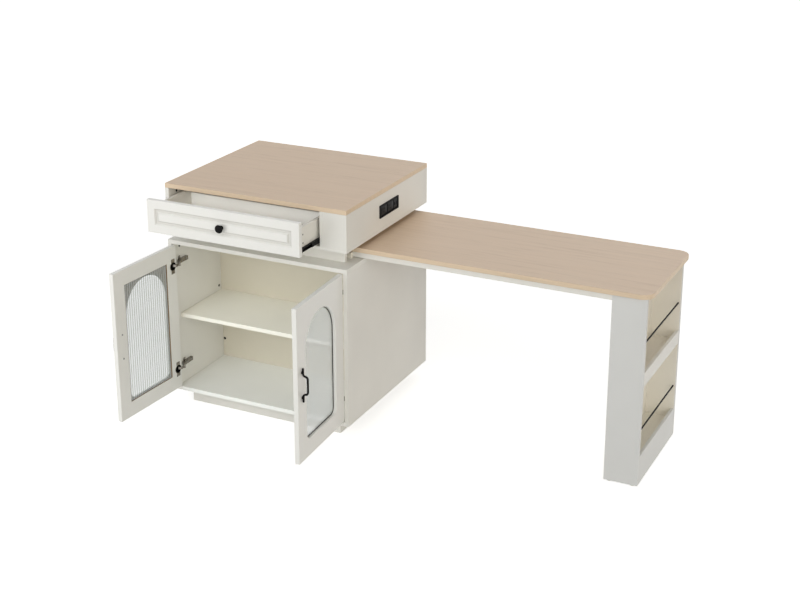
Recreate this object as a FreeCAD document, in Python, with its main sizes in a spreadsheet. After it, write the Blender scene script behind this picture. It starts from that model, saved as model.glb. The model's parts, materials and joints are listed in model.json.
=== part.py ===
import FreeCAD, Part
import math
import os
import re
import Sketcher

from FreeCAD import Placement, Rotation, Vector

# A kitchen island: a white cabinet with two glass doors, a box with one drawer above it, and a bar
# table on a leg that slides into the gap between the two. Millimetres, +X right along the front,
# +Y to the back, +Z up. The origin is on the floor, under the middle of the front plinth board.
# At rest the doors and the drawer stand open and the table is pulled out.

doc = FreeCAD.newDocument("KitchenIsland")

# Driving dimensions

SIZES = (
    ("cabinet_width", "780", "over the two sides"),
    ("cabinet_depth", "682", "front face to back"),
    ("island_height", "910", "floor to the worktop's face"),
    ("wood_thickness", "18", "worktop and table top"),
    ("board", "16", "carcass boards"),
    ("edge_radius", "1", "softened edge of a board"),
    ("wood_edge_radius", "1.6", "rounded edge of the wood tops"),
    ("box_height", "164", "worktop's face down to the box's underside"),
    ("pocket_gap", "62", "box's underside down to the cabinet's top"),
    ("box_floor_board", "12", "floor of the upper box"),
    ("partition_board", "18", "board right of the drawer"),
    ("fixed_panel_width", "92", "fixed front panel right of the drawer"),
    ("plinth_height", "56", "height of the plinth"),
    ("plinth_setback", "40", "plinth behind the front face, and before the back"),
    ("plinth_inset", "57", "plinth inside each side"),
    ("cupboard_depth", "332", "front face to the cupboard's back board"),
    ("back_board", "12", "cupboard's back board"),
    ("shelf_rise", "296", "shelf's face above the cabinet's floor board"),
    ("shelf_setback", "40", "shelf behind the front face"),
    ("shelf_clearance", "1", "shelf to each side board"),
    ("rear_shelf_setback", "30", "rear shelf before the back"),
    ("pin_radius", "2.5", "shelf pin"),
    ("pin_length", "9", "shelf pin outside its board"),
    ("pin_inset", "40", "shelf pin from the shelf's front and back edges"),
    ("cap_radius", "5.5", "cap over a knock-down fitting"),
    ("cap_thickness", "1", "cap over a knock-down fitting"),
    ("cap_inset", "24", "front caps below the board that they hold"),
    ("cap_setback", "52", "front caps behind the front face"),
    ("shelf_cap_rise", "20", "rear caps above the shelf"),
    ("shelf_cap_setback", "16", "rear caps before the cupboard's back"),
    ("back_cap_rise", "77", "caps on the cupboard's back, above its floor"),
    ("back_cap_inset", "8", "caps on the cupboard's back, from its sides"),
    ("pocket_setback", "70", "front spacer behind the front face"),
    ("pocket_rear_setback", "40", "rear spacer before the back"),
    ("pocket_inset", "44", "spacers inside each side"),
    ("door_thickness", "18", "door leaf"),
    ("door_gap", "2", "door to the sides, to the top and to the other door"),
    ("door_floor_gap", "3", "door to the cabinet's floor board"),
    ("door_open_angle", "93", "how far the doors stand open at rest, degrees"),
    ("door_stile", "66", "window to the leaf's edge"),
    ("rebate_margin", "6", "glass rebate beyond the window"),
    ("rebate_depth", "5", "glass rebate from the inner face"),
    ("window_corner", "25", "lower corners of the window"),
    ("window_bevel", "2.5", "bevel round the window's outer edge"),
    ("glass_thickness", "4", "reeded glass"),
    ("glass_clearance", "1", "glass to the rebate's sides"),
    ("hinge_from_end", "81", "hinge from the leaf's end"),
    ("cup_inset", "22", "hinge cup's centre from the leaf's edge"),
    ("cup_radius", "17.5", "hinge cup"),
    ("cup_depth", "12", "hinge cup's bore"),
    ("cup_wall", "1.2", "hinge cup's sheet"),
    ("cup_pin_radius", "1.2", "pin across a hinge cup"),
    ("cup_pin_clearance", "0.3", "pin across a hinge cup, to the link's hook"),
    ("cup_pin_angle", "58", "pin's direction from the hook, degrees"),
    ("flange_length", "60", "hinge cup's flange, along the leaf"),
    ("flange_width", "20", "hinge cup's flange, across"),
    ("flange_thickness", "1", "hinge cup's flange"),
    ("hinge_pin_out", "22", "link pin from the door's pivot, along the closed door"),
    ("hinge_pin_in", "13", "link pin behind the door's outer face"),
    ("hinge_pin_radius", "2", "link pin"),
    ("hinge_pin_clearance", "0.06", "link's eye round the pin"),
    ("hinge_eye_radius", "4", "link's eye"),
    ("hinge_cheek_radius", "4.3", "arm's cheeks beside the link"),
    ("hinge_arm_width", "15", "arm, along the leaf"),
    ("hinge_arm_depth", "9", "arm, off the side board"),
    ("hinge_slot_width", "10.6", "gap between the arm's cheeks"),
    ("hinge_arm_end", "92", "arm's back end behind the front face"),
    ("hinge_arm_knee", "40", "where the arm turns to the door"),
    ("hinge_slot_length", "9", "slot in the arm, from the pin"),
    ("link_length", "24", "hinge link"),
    ("link_width", "10", "hinge link, along the leaf"),
    ("link_thickness", "2.4", "hinge link"),
    ("link_open_angle", "86", "link's direction at rest, degrees"),
    ("link_hook", "11.5", "hinge link's hook"),
    ("link_hook_angle", "70", "hinge link's hook, off the link, degrees"),
    ("plate_thickness", "2", "hinge mounting plate"),
    ("plate_length", "38", "mounting plate, along the side board's height"),
    ("plate_width", "12", "mounting plate's wings"),
    ("plate_setback", "46", "mounting plate's screws behind the front face"),
    ("plate_screw_spacing", "28", "mounting plate's screws"),
    ("plate_screw_radius", "3.6", "screw head"),
    ("plate_screw_height", "1.4", "screw head"),
    ("handle_from_edge", "32", "door handle from the leaf's free edge"),
    ("handle_spacing", "96", "door handle's screws"),
    ("handle_radius", "3.8", "door handle's bar"),
    ("handle_reach", "18", "how far the bar bows out from its feet"),
    ("handle_foot", "14.2", "foot beyond the screw"),
    ("handle_shoulder", "4", "straight foot inside the screw"),
    ("handle_bend_radius", "10", "bends of the bar"),
    ("handle_pad_radius", "5.5", "pad under each foot"),
    ("handle_pad", "1.5", "pad under each foot, thickness"),
    ("handle_screw_radius", "4", "screw head inside the door"),
    ("handle_screw_height", "2", "screw head inside the door"),
    ("drawer_gap", "1.5", "drawer front to the boards beside it"),
    ("drawer_top_gap", "2.5", "drawer front to the boards above and below"),
    ("drawer_front_board", "18", "drawer front"),
    ("drawer_open", "144", "how far the drawer stands open at rest"),
    ("drawer_board", "12", "drawer's sides and back"),
    ("drawer_side_height", "98", "drawer's sides"),
    ("drawer_side_rise", "5", "drawer's sides above the box's floor"),
    ("drawer_bottom_board", "5", "drawer's bottom"),
    ("drawer_bottom_rise", "8", "drawer's bottom above the sides' lower edge"),
    ("drawer_back_drop", "14", "drawer's back below the sides' upper edge"),
    ("groove_margin", "37", "front's edge to the routed groove"),
    ("groove_width", "9", "routed groove"),
    ("groove_depth", "6", "routed groove"),
    ("groove_bevel", "4.5", "sloping sides of the groove"),
    ("front_edge_radius", "1.5", "drawer front's edges"),
    ("knob_radius", "16", "drawer knob's head"),
    ("knob_height", "24", "drawer knob off the front"),
    ("slide_length", "250", "drawer slides"),
    ("slide_space", "12.7", "room for a slide beside the drawer"),
    ("slide_height", "20", "cabinet member of a slide"),
    ("slide_depth", "10", "cabinet member of a slide"),
    ("slide_steel", "1.2", "slide's sheet"),
    ("slide_gap", "0.3", "between a slide's members"),
    ("slide_lift", "17", "slide's middle above the drawer side's lower edge"),
    ("drawer_screw_radius", "3", "screws through the drawer's sides"),
    ("drawer_screw_height", "0.8", "screws through the drawer's sides"),
    ("drawer_screw_inset", "27", "screws behind the drawer front"),
    ("drawer_screw_drop", "28", "upper screw below the side's upper edge"),
    ("drawer_screw_spacing", "32", "between the two screws"),
    ("outlet_length", "160", "outlet's bezel along the side"),
    ("outlet_height", "51", "outlet's bezel"),
    ("outlet_setback", "262", "outlet's bezel behind the front face"),
    ("outlet_drop", "83.5", "outlet's middle below the worktop's face"),
    ("bezel_thickness", "2.5", "outlet's bezel"),
    ("bezel_rim", "6", "outlet's bezel round its window"),
    ("bezel_corner", "4", "outlet's bezel, corners"),
    ("housing_margin", "3", "outlet's housing inside the bezel's edge"),
    ("housing_clearance", "0.5", "housing in the cut-out"),
    ("housing_depth", "46", "outlet's housing"),
    ("housing_wall", "2", "outlet's housing"),
    ("insert_recess", "1.5", "inserts behind the bezel's face"),
    ("insert_depth", "12", "outlet's inserts"),
    ("insert_gap", "3", "between the inserts"),
    ("usb_insert_width", "32", "USB module along the side"),
    ("socket_slot_length", "8", "socket's flat slots"),
    ("socket_slot_width", "2", "socket's flat slots"),
    ("socket_slot_spacing", "12.7", "between a socket's flat slots"),
    ("socket_pin_radius", "2.4", "socket's round hole"),
    ("socket_pin_drop", "11", "socket's round hole below its slots"),
    ("socket_slot_depth", "9", "how deep the slots go"),
    ("usb_port_length", "13", "USB port"),
    ("usb_port_width", "5.5", "USB port"),
    ("usb_port_spacing", "14", "between the USB ports"),
    ("table_reach", "1098", "table's end beyond the cabinet's side"),
    ("table_overlap", "110", "table's inner end inside the pocket"),
    ("table_setback", "123", "table's front edge behind the front face"),
    ("table_rear_setback", "59", "table's back edge before the back"),
    ("table_drop", "18", "table's face below the box's underside"),
    ("table_corner", "45", "table's outer corners"),
    ("apron_clearance", "3", "rails under the table, to the cabinet's top"),
    ("apron_setback", "10", "rails and leg inside the table's front edge"),
    ("apron_rear_setback", "31", "rails and leg inside the table's back edge"),
    ("apron_inset", "10", "rails from the table's inner end"),
    ("leg_overhang", "17", "table's end beyond the leg"),
    ("leg_width", "125", "leg along the table"),
    ("leg_base_height", "76", "height of the leg's lower shelf"),
    ("leg_shelf_rise", "320", "leg's upper shelf above the lower one"),
    ("lip_board", "12", "boards across the leg's open side"),
    ("lip_height", "52", "lip in front of the upper shelf"),
    ("toe_height", "113", "height of the board at the leg's foot"),
    ("rod_radius", "3", "guard rods"),
    ("rod_inset", "9", "guard rods inside the leg's open side"),
    ("upper_rod_rise", "143", "upper guard rod above its shelf"),
    ("lower_rod_rise", "130", "lower guard rod above its shelf"),
    ("glide_height", "2.5", "glides under the leg"),
    ("glide_inset", "20", "glides from the leg's faces"),
    ("pad_length", "40", "slide pads under the rails' inner ends"),
    ("pad_clearance", "0.3", "slide pads above the cabinet's top"),
    ("batten_width", "16", "guide battens beside the rails"),
    ("batten_top_gap", "4", "guide battens and stop cleat, to the table"),
    ("batten_clearance", "0.8", "guide battens to the rails"),
    ("cleat_clearance", "0.4", "stop cleat to the table's end rail"),
    ("cut_overrun", "1", "how far a cutting tool passes a face"),
)

# Places worked out from the sizes above

PLACES = (
    ("right", "cabinet_width / 2"),
    ("left", "-cabinet_width / 2"),
    ("front", "-(plinth_setback + board / 2)"),
    ("back", "front + cabinet_depth"),
    ("inner_left", "left + board"),
    ("inner_right", "right - board"),
    ("inner_width", "cabinet_width - 2 * board"),
    ("wood_underside", "island_height - wood_thickness"),
    ("box_underside", "island_height - box_height"),
    ("cabinet_height", "box_underside - pocket_gap"),
    ("box_floor_top", "box_underside + box_floor_board"),
    ("box_inner_height", "wood_underside - box_floor_top"),
    ("partition_right", "right - fixed_panel_width"),
    ("partition_left", "partition_right - partition_board"),
    ("cabinet_ceiling", "cabinet_height - board"),
    ("cabinet_floor_top", "plinth_height + board"),
    ("side_height", "cabinet_ceiling - plinth_height"),
    ("cupboard_height", "cabinet_ceiling - cabinet_floor_top"),
    ("cupboard_end", "front + cupboard_depth"),
    ("rear_bay_start", "cupboard_end + back_board"),
    ("shelf_width", "inner_width - 2 * shelf_clearance"),
    ("shelf_left", "inner_left + shelf_clearance"),
    ("shelf_height", "cabinet_floor_top + shelf_rise"),
    ("shelf_underside", "shelf_height - board"),
    ("door_width", "(inner_width - 3 * door_gap) / 2"),
    ("door_bottom", "cabinet_floor_top + door_floor_gap"),
    ("door_top", "cabinet_ceiling - door_gap"),
    ("door_height", "door_top - door_bottom"),
    ("door_pivot", "inner_right - door_gap"),
    ("arch_radius", "door_width / 2 - door_stile"),
    ("arch_centre", "door_top - door_stile - arch_radius"),
    ("window_bottom", "door_bottom + door_stile"),
    ("rebate_stile", "door_stile - rebate_margin"),
    ("lower_hinge", "door_bottom + hinge_from_end"),
    ("upper_hinge", "door_top - hinge_from_end"),
    ("handle_level", "door_bottom + door_height / 2"),
    ("drawer_left", "inner_left + drawer_gap"),
    ("drawer_width", "partition_left - inner_left - 2 * drawer_gap"),
    ("drawer_bottom_edge", "box_floor_top + drawer_top_gap"),
    ("drawer_front_height", "box_inner_height - 2 * drawer_top_gap"),
    ("drawer_face", "front - drawer_open"),
    ("drawer_start", "drawer_face + drawer_front_board"),
    ("drawer_box_left", "inner_left + slide_space"),
    ("drawer_box_right", "partition_left - slide_space"),
    ("drawer_inner_left", "drawer_box_left + drawer_board"),
    ("drawer_inner_width", "drawer_box_right - drawer_box_left - 2 * drawer_board"),
    ("drawer_side_bottom", "box_floor_top + drawer_side_rise"),
    ("drawer_back_face", "drawer_start + slide_length - drawer_board"),
    ("drawer_bottom_top", "drawer_side_bottom + drawer_bottom_rise + drawer_bottom_board"),
    ("slide_start", "front + drawer_front_board"),
    ("slide_level", "drawer_side_bottom + slide_lift"),
    ("outlet_front", "front + outlet_setback"),
    ("outlet_level", "island_height - outlet_drop"),
    ("outlet_bottom", "outlet_level - outlet_height / 2"),
    ("housing_length", "outlet_length - 2 * housing_margin"),
    ("housing_height", "outlet_height - 2 * housing_margin"),
    ("spacer_left", "left + pocket_inset"),
    ("spacer_length", "cabinet_width - 2 * pocket_inset"),
    ("front_spacer", "front + pocket_setback"),
    ("rear_spacer", "back - pocket_rear_setback - board"),
    ("table_end", "right + table_reach"),
    ("table_inner", "right - table_overlap"),
    ("table_front", "front + table_setback"),
    ("table_back", "back - table_rear_setback"),
    ("table_depth", "table_back - table_front"),
    ("table_height", "box_underside - table_drop"),
    ("table_underside", "table_height - wood_thickness"),
    ("apron_front", "table_front + apron_setback"),
    ("apron_back", "table_back - apron_rear_setback"),
    ("apron_inner", "table_inner + apron_inset"),
    ("apron_bottom", "cabinet_height + apron_clearance"),
    ("apron_height", "table_underside - apron_bottom"),
    ("batten_height", "table_underside - batten_top_gap - cabinet_height"),
    ("leg_right", "table_end - leg_overhang"),
    ("leg_left", "leg_right - leg_width"),
    ("leg_inner_depth", "apron_back - apron_front - 2 * board"),
    ("leg_height", "table_underside - glide_height"),
    ("leg_shelf_height", "leg_base_height + leg_shelf_rise"),
    ("upper_rod_height", "leg_shelf_height + upper_rod_rise"),
    ("lower_rod_height", "leg_base_height + lower_rod_rise"),
    ("cleat_left", "apron_inner + board + cleat_clearance"),
)


def filled_sheet(name, rows):
    """Make a spreadsheet with one row for each name, its value and its meaning."""
    page = doc.addObject("Spreadsheet::Sheet", name)
    for number, (alias, content, remark) in enumerate(rows, start=1):
        page.set("A%d" % number, alias)
        page.set("B%d" % number, content)
        page.set("C%d" % number, remark)
        page.setAlias("B%d" % number, alias)
    return page


SHEET_OF = {alias: "Sizes" for alias, content, remark in SIZES}
SHEET_OF.update({alias: "Places" for alias, formula in PLACES})


def linked(formula):
    """Write a formula with the sheet's name before each size and place."""
    def with_sheet(match):
        word = match.group(0)
        return SHEET_OF[word] + "." + word if word in SHEET_OF else word
    return re.sub(r"[a-z_]+", with_sheet, formula)


def in_places_sheet(formula):
    """Write a formula for a cell of the second sheet, where its own names stand alone."""
    return "=" + linked(formula).replace("Places.", "")


sizes = filled_sheet("Sizes", SIZES)
places = filled_sheet("Places", [(alias, in_places_sheet(formula), "") for alias, formula in PLACES])
doc.recompute()


def size(alias):
    """The number behind a name of either sheet."""
    page = sizes if SHEET_OF[alias] == "Sizes" else places
    return float(page.get(alias))


# Building blocks

TURN_TO = {
    "x": Rotation(Vector(0, 1, 0), 90),
    "y": Rotation(Vector(1, 0, 0), -90),
    "z": Rotation(),
}
nodes = []


def place(part, corner):
    """Bind a part's position to formulas."""
    for axis, formula in zip("xyz", corner):
        part.setExpression("Placement.Base." + axis, linked(formula))


def box(name, extent, corner):
    """A block whose sizes and position follow formulas."""
    part = doc.addObject("Part::Box", name)
    for side, formula in zip(("Length", "Width", "Height"), extent):
        part.setExpression(side, linked(formula))
    place(part, corner)
    return part


def cylinder(name, radius, height, start, axis):
    """A round bar from a start point along an axis."""
    part = doc.addObject("Part::Cylinder", name)
    part.setExpression("Radius", linked(radius))
    part.setExpression("Height", linked(height))
    part.Placement = Placement(Vector(), TURN_TO[axis])
    place(part, start)
    return part


def finished(part, label):
    """Give a sub-part its own label and list it for export."""
    part.Label = label
    nodes.append(part)
    return part


def rounded(name, blank, radius, edges=None):
    """Round a shape's edges, all of them unless some are listed."""
    part = doc.addObject("Part::Fillet", name)
    part.Base = blank
    if edges is None:
        doc.recompute([blank])
        edges = range(1, len(blank.Shape.Edges) + 1)
    part.Edges = [(number, size(radius), size(radius)) for number in edges]
    return part


def edges_where(part, test):
    """Numbers of the edges that pass a test."""
    doc.recompute()
    return [number for number, edge in enumerate(part.Shape.Edges, start=1) if test(edge)]


def joined(name, parts):
    """Several shapes as one."""
    part = doc.addObject("Part::MultiFuse", name)
    part.Shapes = parts
    return part


def cut(name, blank, tools):
    """A shape with tools taken away."""
    part = doc.addObject("Part::Cut", name)
    part.Base = blank
    part.Tool = tools[0] if len(tools) == 1 else joined(name + "_tools", tools)
    return part


def together(name, parts):
    """Like pieces that share one node."""
    part = doc.addObject("Part::Compound", name)
    part.Links = parts
    return finished(part, name)


def board(name, extent, corner, radius="edge_radius"):
    """A board with softened edges."""
    return rounded(name, box(name + "_blank", extent, corner), radius)


def panel(label, extent, corner, radius="edge_radius"):
    """A board that is a sub-part of its own."""
    return finished(board(label, extent, corner, radius), label)


def shaped(name, shape, corner=None, turn=None):
    """A shape made point by point, set in its place."""
    part = doc.addObject("Part::Feature", name)
    part.Shape = shape
    if corner is not None:
        part.Placement = Placement(Vector(*corner), turn or Rotation())
    return part


# Worktop and the box under it

def build_box():
    panel("island_top", ("cabinet_width", "cabinet_depth", "wood_thickness"),
          ("left", "front", "wood_underside"), "wood_edge_radius")
    panel("box_floor", ("cabinet_width", "cabinet_depth", "box_floor_board"),
          ("left", "front", "box_underside"))
    panel("box_left_side", ("board", "cabinet_depth", "box_inner_height"),
          ("left", "front", "box_floor_top"))
    panel("box_front_panel", ("fixed_panel_width", "board", "box_inner_height"),
          ("partition_right", "front", "box_floor_top"))
    panel("box_partition", ("partition_board", "cabinet_depth - board", "box_inner_height"),
          ("partition_left", "front", "box_floor_top"))
    panel("box_back_panel", ("inner_width", "board", "box_inner_height"),
          ("inner_left", "back - board", "box_floor_top"))
    side = board("box_right_side_board", ("board", "cabinet_depth - board", "box_inner_height"),
                 ("inner_right", "front + board", "box_floor_top"))
    hole = box("outlet_hole",
               ("board + 2 * cut_overrun", "housing_length + 2 * housing_clearance",
                "housing_height + 2 * housing_clearance"),
               ("inner_right - cut_overrun", "outlet_front + housing_margin - housing_clearance",
                "outlet_bottom + housing_margin - housing_clearance"))
    finished(cut("box_right_side", side, [hole]), "box_right_side")


# Outlet in the box's right side

def socket_insert(name, start):
    """A socket face with two flat slots and a round hole."""
    width = "(housing_length - 2 * bezel_rim - usb_insert_width - 2 * insert_gap) / 2"
    face = "right + bezel_thickness - insert_recess"
    body = box(name + "_body", ("insert_depth", width, "outlet_height - 2 * bezel_rim - insert_gap"),
               (face + " - insert_depth", start, "outlet_bottom + bezel_rim + insert_gap / 2"))
    middle = start + " + " + width + " / 2"
    slots = []
    for number, way in enumerate(("-", "+")):
        slots.append(box(name + "_slot%d" % number,
                         ("socket_slot_depth + cut_overrun", "socket_slot_width", "socket_slot_length"),
                         (face + " - socket_slot_depth",
                          middle + " - socket_slot_width / 2 " + way + " socket_slot_spacing / 2",
                          "outlet_level + socket_pin_drop / 2 - socket_slot_length / 2")))
    slots.append(cylinder(name + "_hole", "socket_pin_radius", "socket_slot_depth + cut_overrun",
                          (face + " - socket_slot_depth", middle, "outlet_level - socket_pin_drop / 2"), "x"))
    return cut(name, body, slots)


def usb_insert(name, start):
    """A module with two upright ports."""
    face = "right + bezel_thickness - insert_recess"
    body = box(name + "_body", ("insert_depth", "usb_insert_width",
                                "outlet_height - 2 * bezel_rim - insert_gap"),
               (face + " - insert_depth", start, "outlet_bottom + bezel_rim + insert_gap / 2"))
    ports = []
    for number, way in enumerate(("-", "+")):
        middle = start + " + usb_insert_width / 2 " + way + " usb_port_spacing / 2"
        ports.append(box(name + "_port%d" % number,
                         ("socket_slot_depth + cut_overrun", "usb_port_width", "usb_port_length"),
                         (face + " - socket_slot_depth", middle + " - usb_port_width / 2",
                          "outlet_level - usb_port_length / 2")))
    return cut(name, body, ports)


def build_outlet():
    plate = box("outlet_bezel_plate", ("bezel_thickness", "outlet_length", "outlet_height"),
                ("right", "outlet_front", "outlet_bottom"))
    along_x = edges_where(plate, lambda edge: edge.BoundBox.XLength > size("edge_radius"))
    plate = rounded("outlet_bezel_body", plate, "bezel_corner", along_x)
    window = box("outlet_window",
                 ("bezel_thickness + 2 * cut_overrun", "housing_length - 2 * bezel_rim",
                  "outlet_height - 2 * bezel_rim"),
                 ("right - cut_overrun", "outlet_front + housing_margin + bezel_rim",
                  "outlet_bottom + bezel_rim"))
    finished(cut("outlet_bezel", plate, [window]), "outlet_bezel")
    shell = box("outlet_housing_shell", ("housing_depth", "housing_length", "housing_height"),
                ("right - housing_depth", "outlet_front + housing_margin",
                 "outlet_bottom + housing_margin"))
    hollow = box("outlet_housing_hollow",
                 ("housing_depth - housing_wall + cut_overrun", "housing_length - 2 * housing_wall",
                  "housing_height - 2 * housing_wall"),
                 ("right - housing_depth + housing_wall", "outlet_front + housing_margin + housing_wall",
                  "outlet_bottom + housing_margin + housing_wall"))
    ribs = box("outlet_housing_seat",
               ("housing_wall", "housing_length", "housing_height"),
               ("right + bezel_thickness - insert_recess - insert_depth - housing_wall",
                "outlet_front + housing_margin", "outlet_bottom + housing_margin"))
    finished(joined("outlet_housing", [cut("outlet_housing_tray", shell, [hollow]), ribs]),
             "outlet_housing")
    start = "outlet_front + housing_margin + bezel_rim + insert_gap / 2"
    width = "(housing_length - 2 * bezel_rim - usb_insert_width - 2 * insert_gap) / 2"
    together("outlet_inserts", [
        socket_insert("socket_a", start),
        socket_insert("socket_b", start + " + " + width + " + insert_gap / 2"),
        usb_insert("usb_module", start + " + 2 * " + width + " + insert_gap")])


# Cabinet, its shelves and its plinth

def build_cabinet():
    panel("cabinet_top", ("cabinet_width", "cabinet_depth", "board"),
          ("left", "front", "cabinet_ceiling"))
    panel("cabinet_left_side", ("board", "cabinet_depth", "side_height"),
          ("left", "front", "plinth_height"))
    panel("cabinet_right_side", ("board", "cabinet_depth", "side_height"),
          ("inner_right", "front", "plinth_height"))
    panel("cabinet_floor", ("inner_width", "cabinet_depth", "board"),
          ("inner_left", "front", "plinth_height"))
    panel("cupboard_back", ("inner_width", "back_board", "cupboard_height"),
          ("inner_left", "cupboard_end", "cabinet_floor_top"))
    panel("cupboard_shelf", ("shelf_width", "cupboard_depth - shelf_setback", "board"),
          ("shelf_left", "front + shelf_setback", "shelf_underside"))
    panel("rear_shelf", ("shelf_width", "back - rear_shelf_setback - rear_bay_start", "board"),
          ("shelf_left", "rear_bay_start", "shelf_underside"))
    build_shelf_pins()
    build_plinth()


def build_shelf_pins():
    rows = (("front + shelf_setback + pin_inset", "cupboard_end - pin_inset"),
            ("rear_bay_start + pin_inset", "back - rear_shelf_setback - pin_inset"))
    pins = []
    for depth in rows[0] + rows[1]:
        for start in ("inner_left", "inner_right - pin_length"):
            pins.append(cylinder("pin%d" % len(pins), "pin_radius", "pin_length",
                                 (start, depth, "shelf_underside - pin_radius"), "x"))
    together("shelf_pins", pins)


def build_plinth():
    length = "cabinet_width - 2 * plinth_inset"
    depth = "cabinet_depth - 2 * plinth_setback - 2 * board"
    panel("plinth_front", (length, "board", "plinth_height"),
          ("left + plinth_inset", "front + plinth_setback", "0"))
    panel("plinth_back", (length, "board", "plinth_height"),
          ("left + plinth_inset", "back - plinth_setback - board", "0"))
    start = "front + plinth_setback + board"
    together("plinth_sides", [
        board("plinth_left", ("board", depth, "plinth_height"), ("left + plinth_inset", start, "0")),
        board("plinth_right", ("board", depth, "plinth_height"),
              ("right - plinth_inset - board", start, "0"))])


def build_caps():
    """Caps over the fittings, on the inner faces that show."""
    shelf_cap = ("cupboard_end - shelf_cap_setback", "shelf_height + shelf_cap_rise")
    front_cap = ("front + cap_setback", "cabinet_ceiling - cap_inset")
    caps = []
    for depth, height in (front_cap, shelf_cap):
        for start in ("inner_left", "inner_right - cap_thickness"):
            caps.append(cylinder("cap%d" % len(caps), "cap_radius", "cap_thickness",
                                 (start, depth, height), "x"))
    for middle in ("inner_left + back_cap_inset", "inner_right - back_cap_inset"):
        caps.append(cylinder("cap%d" % len(caps), "cap_radius", "cap_thickness",
                             (middle, "cupboard_end - cap_thickness", "cabinet_floor_top + back_cap_rise"),
                             "y"))
    caps.append(cylinder("cap%d" % len(caps), "cap_radius", "cap_thickness",
                         ("inner_left", "front + cap_setback", "wood_underside - cap_inset"), "x"))
    together("cam_caps", caps)


# The pocket that the table slides into

def build_pocket():
    together("pocket_long_spacers", [
        board("front_spacer", ("spacer_length", "board", "pocket_gap"),
              ("spacer_left", "front_spacer", "cabinet_height")),
        board("rear_spacer", ("spacer_length", "board", "pocket_gap"),
              ("spacer_left", "rear_spacer", "cabinet_height"))])
    panel("pocket_end_spacer", ("board", "rear_spacer - front_spacer - board", "pocket_gap"),
          ("spacer_left", "front_spacer + board", "cabinet_height"))
    length = "spacer_length - board"
    start = "spacer_left + board"
    together("table_guides", [
        board("front_batten", (length, "batten_width", "batten_height"),
              (start, "apron_front - batten_clearance - batten_width", "cabinet_height")),
        board("rear_batten", (length, "batten_width", "batten_height"),
              (start, "apron_back + batten_clearance", "cabinet_height")),
        board("stop_cleat", ("board", "leg_inner_depth - 2 * batten_width", "batten_height"),
              ("cleat_left", "apron_front + board + batten_width", "cabinet_height"))])


# Drawer and its slides

def rectangle_sketch(body, name, lift, frames):
    """A sketch of upright rectangles, each bound to formulas for its corner and its sides."""
    sketch = body.newObject("Sketcher::SketchObject", name)
    plane = [item for item in body.Origin.OriginFeatures if item.Role == "XY_Plane"][0]
    sketch.AttachmentSupport = (plane, "")
    sketch.MapMode = "FlatFace"
    sketch.setExpression("AttachmentOffset.Base.z", linked(lift))
    for left_edge, low_edge, width, height in frames:
        add_rectangle(sketch, left_edge, low_edge, width, height)
    return sketch


def add_rectangle(sketch, left_edge, low_edge, width, height):
    """Four lines with the constraints that hold them to the sheet."""
    first = sketch.GeometryCount
    unit = size("cut_overrun")
    corners = [Vector(unit, unit, 0), Vector(2 * unit, unit, 0),
               Vector(2 * unit, 2 * unit, 0), Vector(unit, 2 * unit, 0)]
    for number in range(4):
        sketch.addGeometry(Part.LineSegment(corners[number], corners[(number + 1) % 4]), False)
    for number in range(4):
        sketch.addConstraint(Sketcher.Constraint("Coincident", first + number, 2,
                                                 first + (number + 1) % 4, 1))
    for number, way in ((0, "Horizontal"), (1, "Vertical"), (2, "Horizontal"), (3, "Vertical")):
        sketch.addConstraint(Sketcher.Constraint(way, first + number))
    measures = (("DistanceX", (-1, 1, first, 1), left_edge), ("DistanceY", (-1, 1, first, 1), low_edge),
                ("DistanceX", (first, 1, first, 2), width), ("DistanceY", (first + 1, 1, first + 1, 2), height))
    for way, points, formula in measures:
        number = sketch.addConstraint(Sketcher.Constraint(way, *points, unit))
        sketch.setExpression("Constraints[%d]" % number, linked(formula))


def edge_names(feature, test):
    """Names of a feature's edges that pass a test."""
    return ["Edge%d" % number for number in edges_where(feature, test)]


def build_drawer_front():
    """A routed front: a groove round a raised field."""
    body = doc.addObject("PartDesign::Body", "drawer_front")
    outline = rectangle_sketch(body, "front_outline", "0",
                               [("0", "0", "drawer_width", "drawer_front_height")])
    pad = body.newObject("PartDesign::Pad", "front_pad")
    pad.Profile = outline
    pad.setExpression("Length", linked("drawer_front_board"))
    inner = "groove_margin + groove_width"
    ring = rectangle_sketch(body, "front_groove_outline", "drawer_front_board", [
        ("groove_margin", "groove_margin", "drawer_width - 2 * groove_margin",
         "drawer_front_height - 2 * groove_margin"),
        (inner, inner, "drawer_width - 2 * (" + inner + ")",
         "drawer_front_height - 2 * (" + inner + ")")])
    groove = body.newObject("PartDesign::Pocket", "front_groove")
    groove.Profile = ring
    groove.setExpression("Length", linked("groove_depth"))
    doc.recompute()
    face = size("drawer_front_board")
    tiny = size("edge_radius")

    def on_face(edge):
        return min(edge.BoundBox.ZMin, edge.BoundBox.ZMax) > face - tiny

    def at_rim(edge):
        span = edge.BoundBox
        return (span.XMin < tiny or span.YMin < tiny or span.XMax > size("drawer_width") - tiny
                or span.YMax > size("drawer_front_height") - tiny)

    bevel = body.newObject("PartDesign::Chamfer", "front_groove_bevel")
    bevel.Base = (groove, edge_names(groove, lambda edge: on_face(edge) and not at_rim(edge)))
    bevel.setExpression("Size", linked("groove_bevel"))
    doc.recompute()
    rim = body.newObject("PartDesign::Fillet", "front_rim")
    rim.Base = (bevel, edge_names(bevel, lambda edge: on_face(edge) and at_rim(edge)))
    rim.setExpression("Radius", linked("front_edge_radius"))
    body.Tip = rim
    body.Placement = Placement(Vector(), Rotation(Vector(1, 0, 0), 90))
    place(body, ("drawer_left", "drawer_start", "drawer_bottom_edge"))
    finished(body, "drawer_front")


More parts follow.
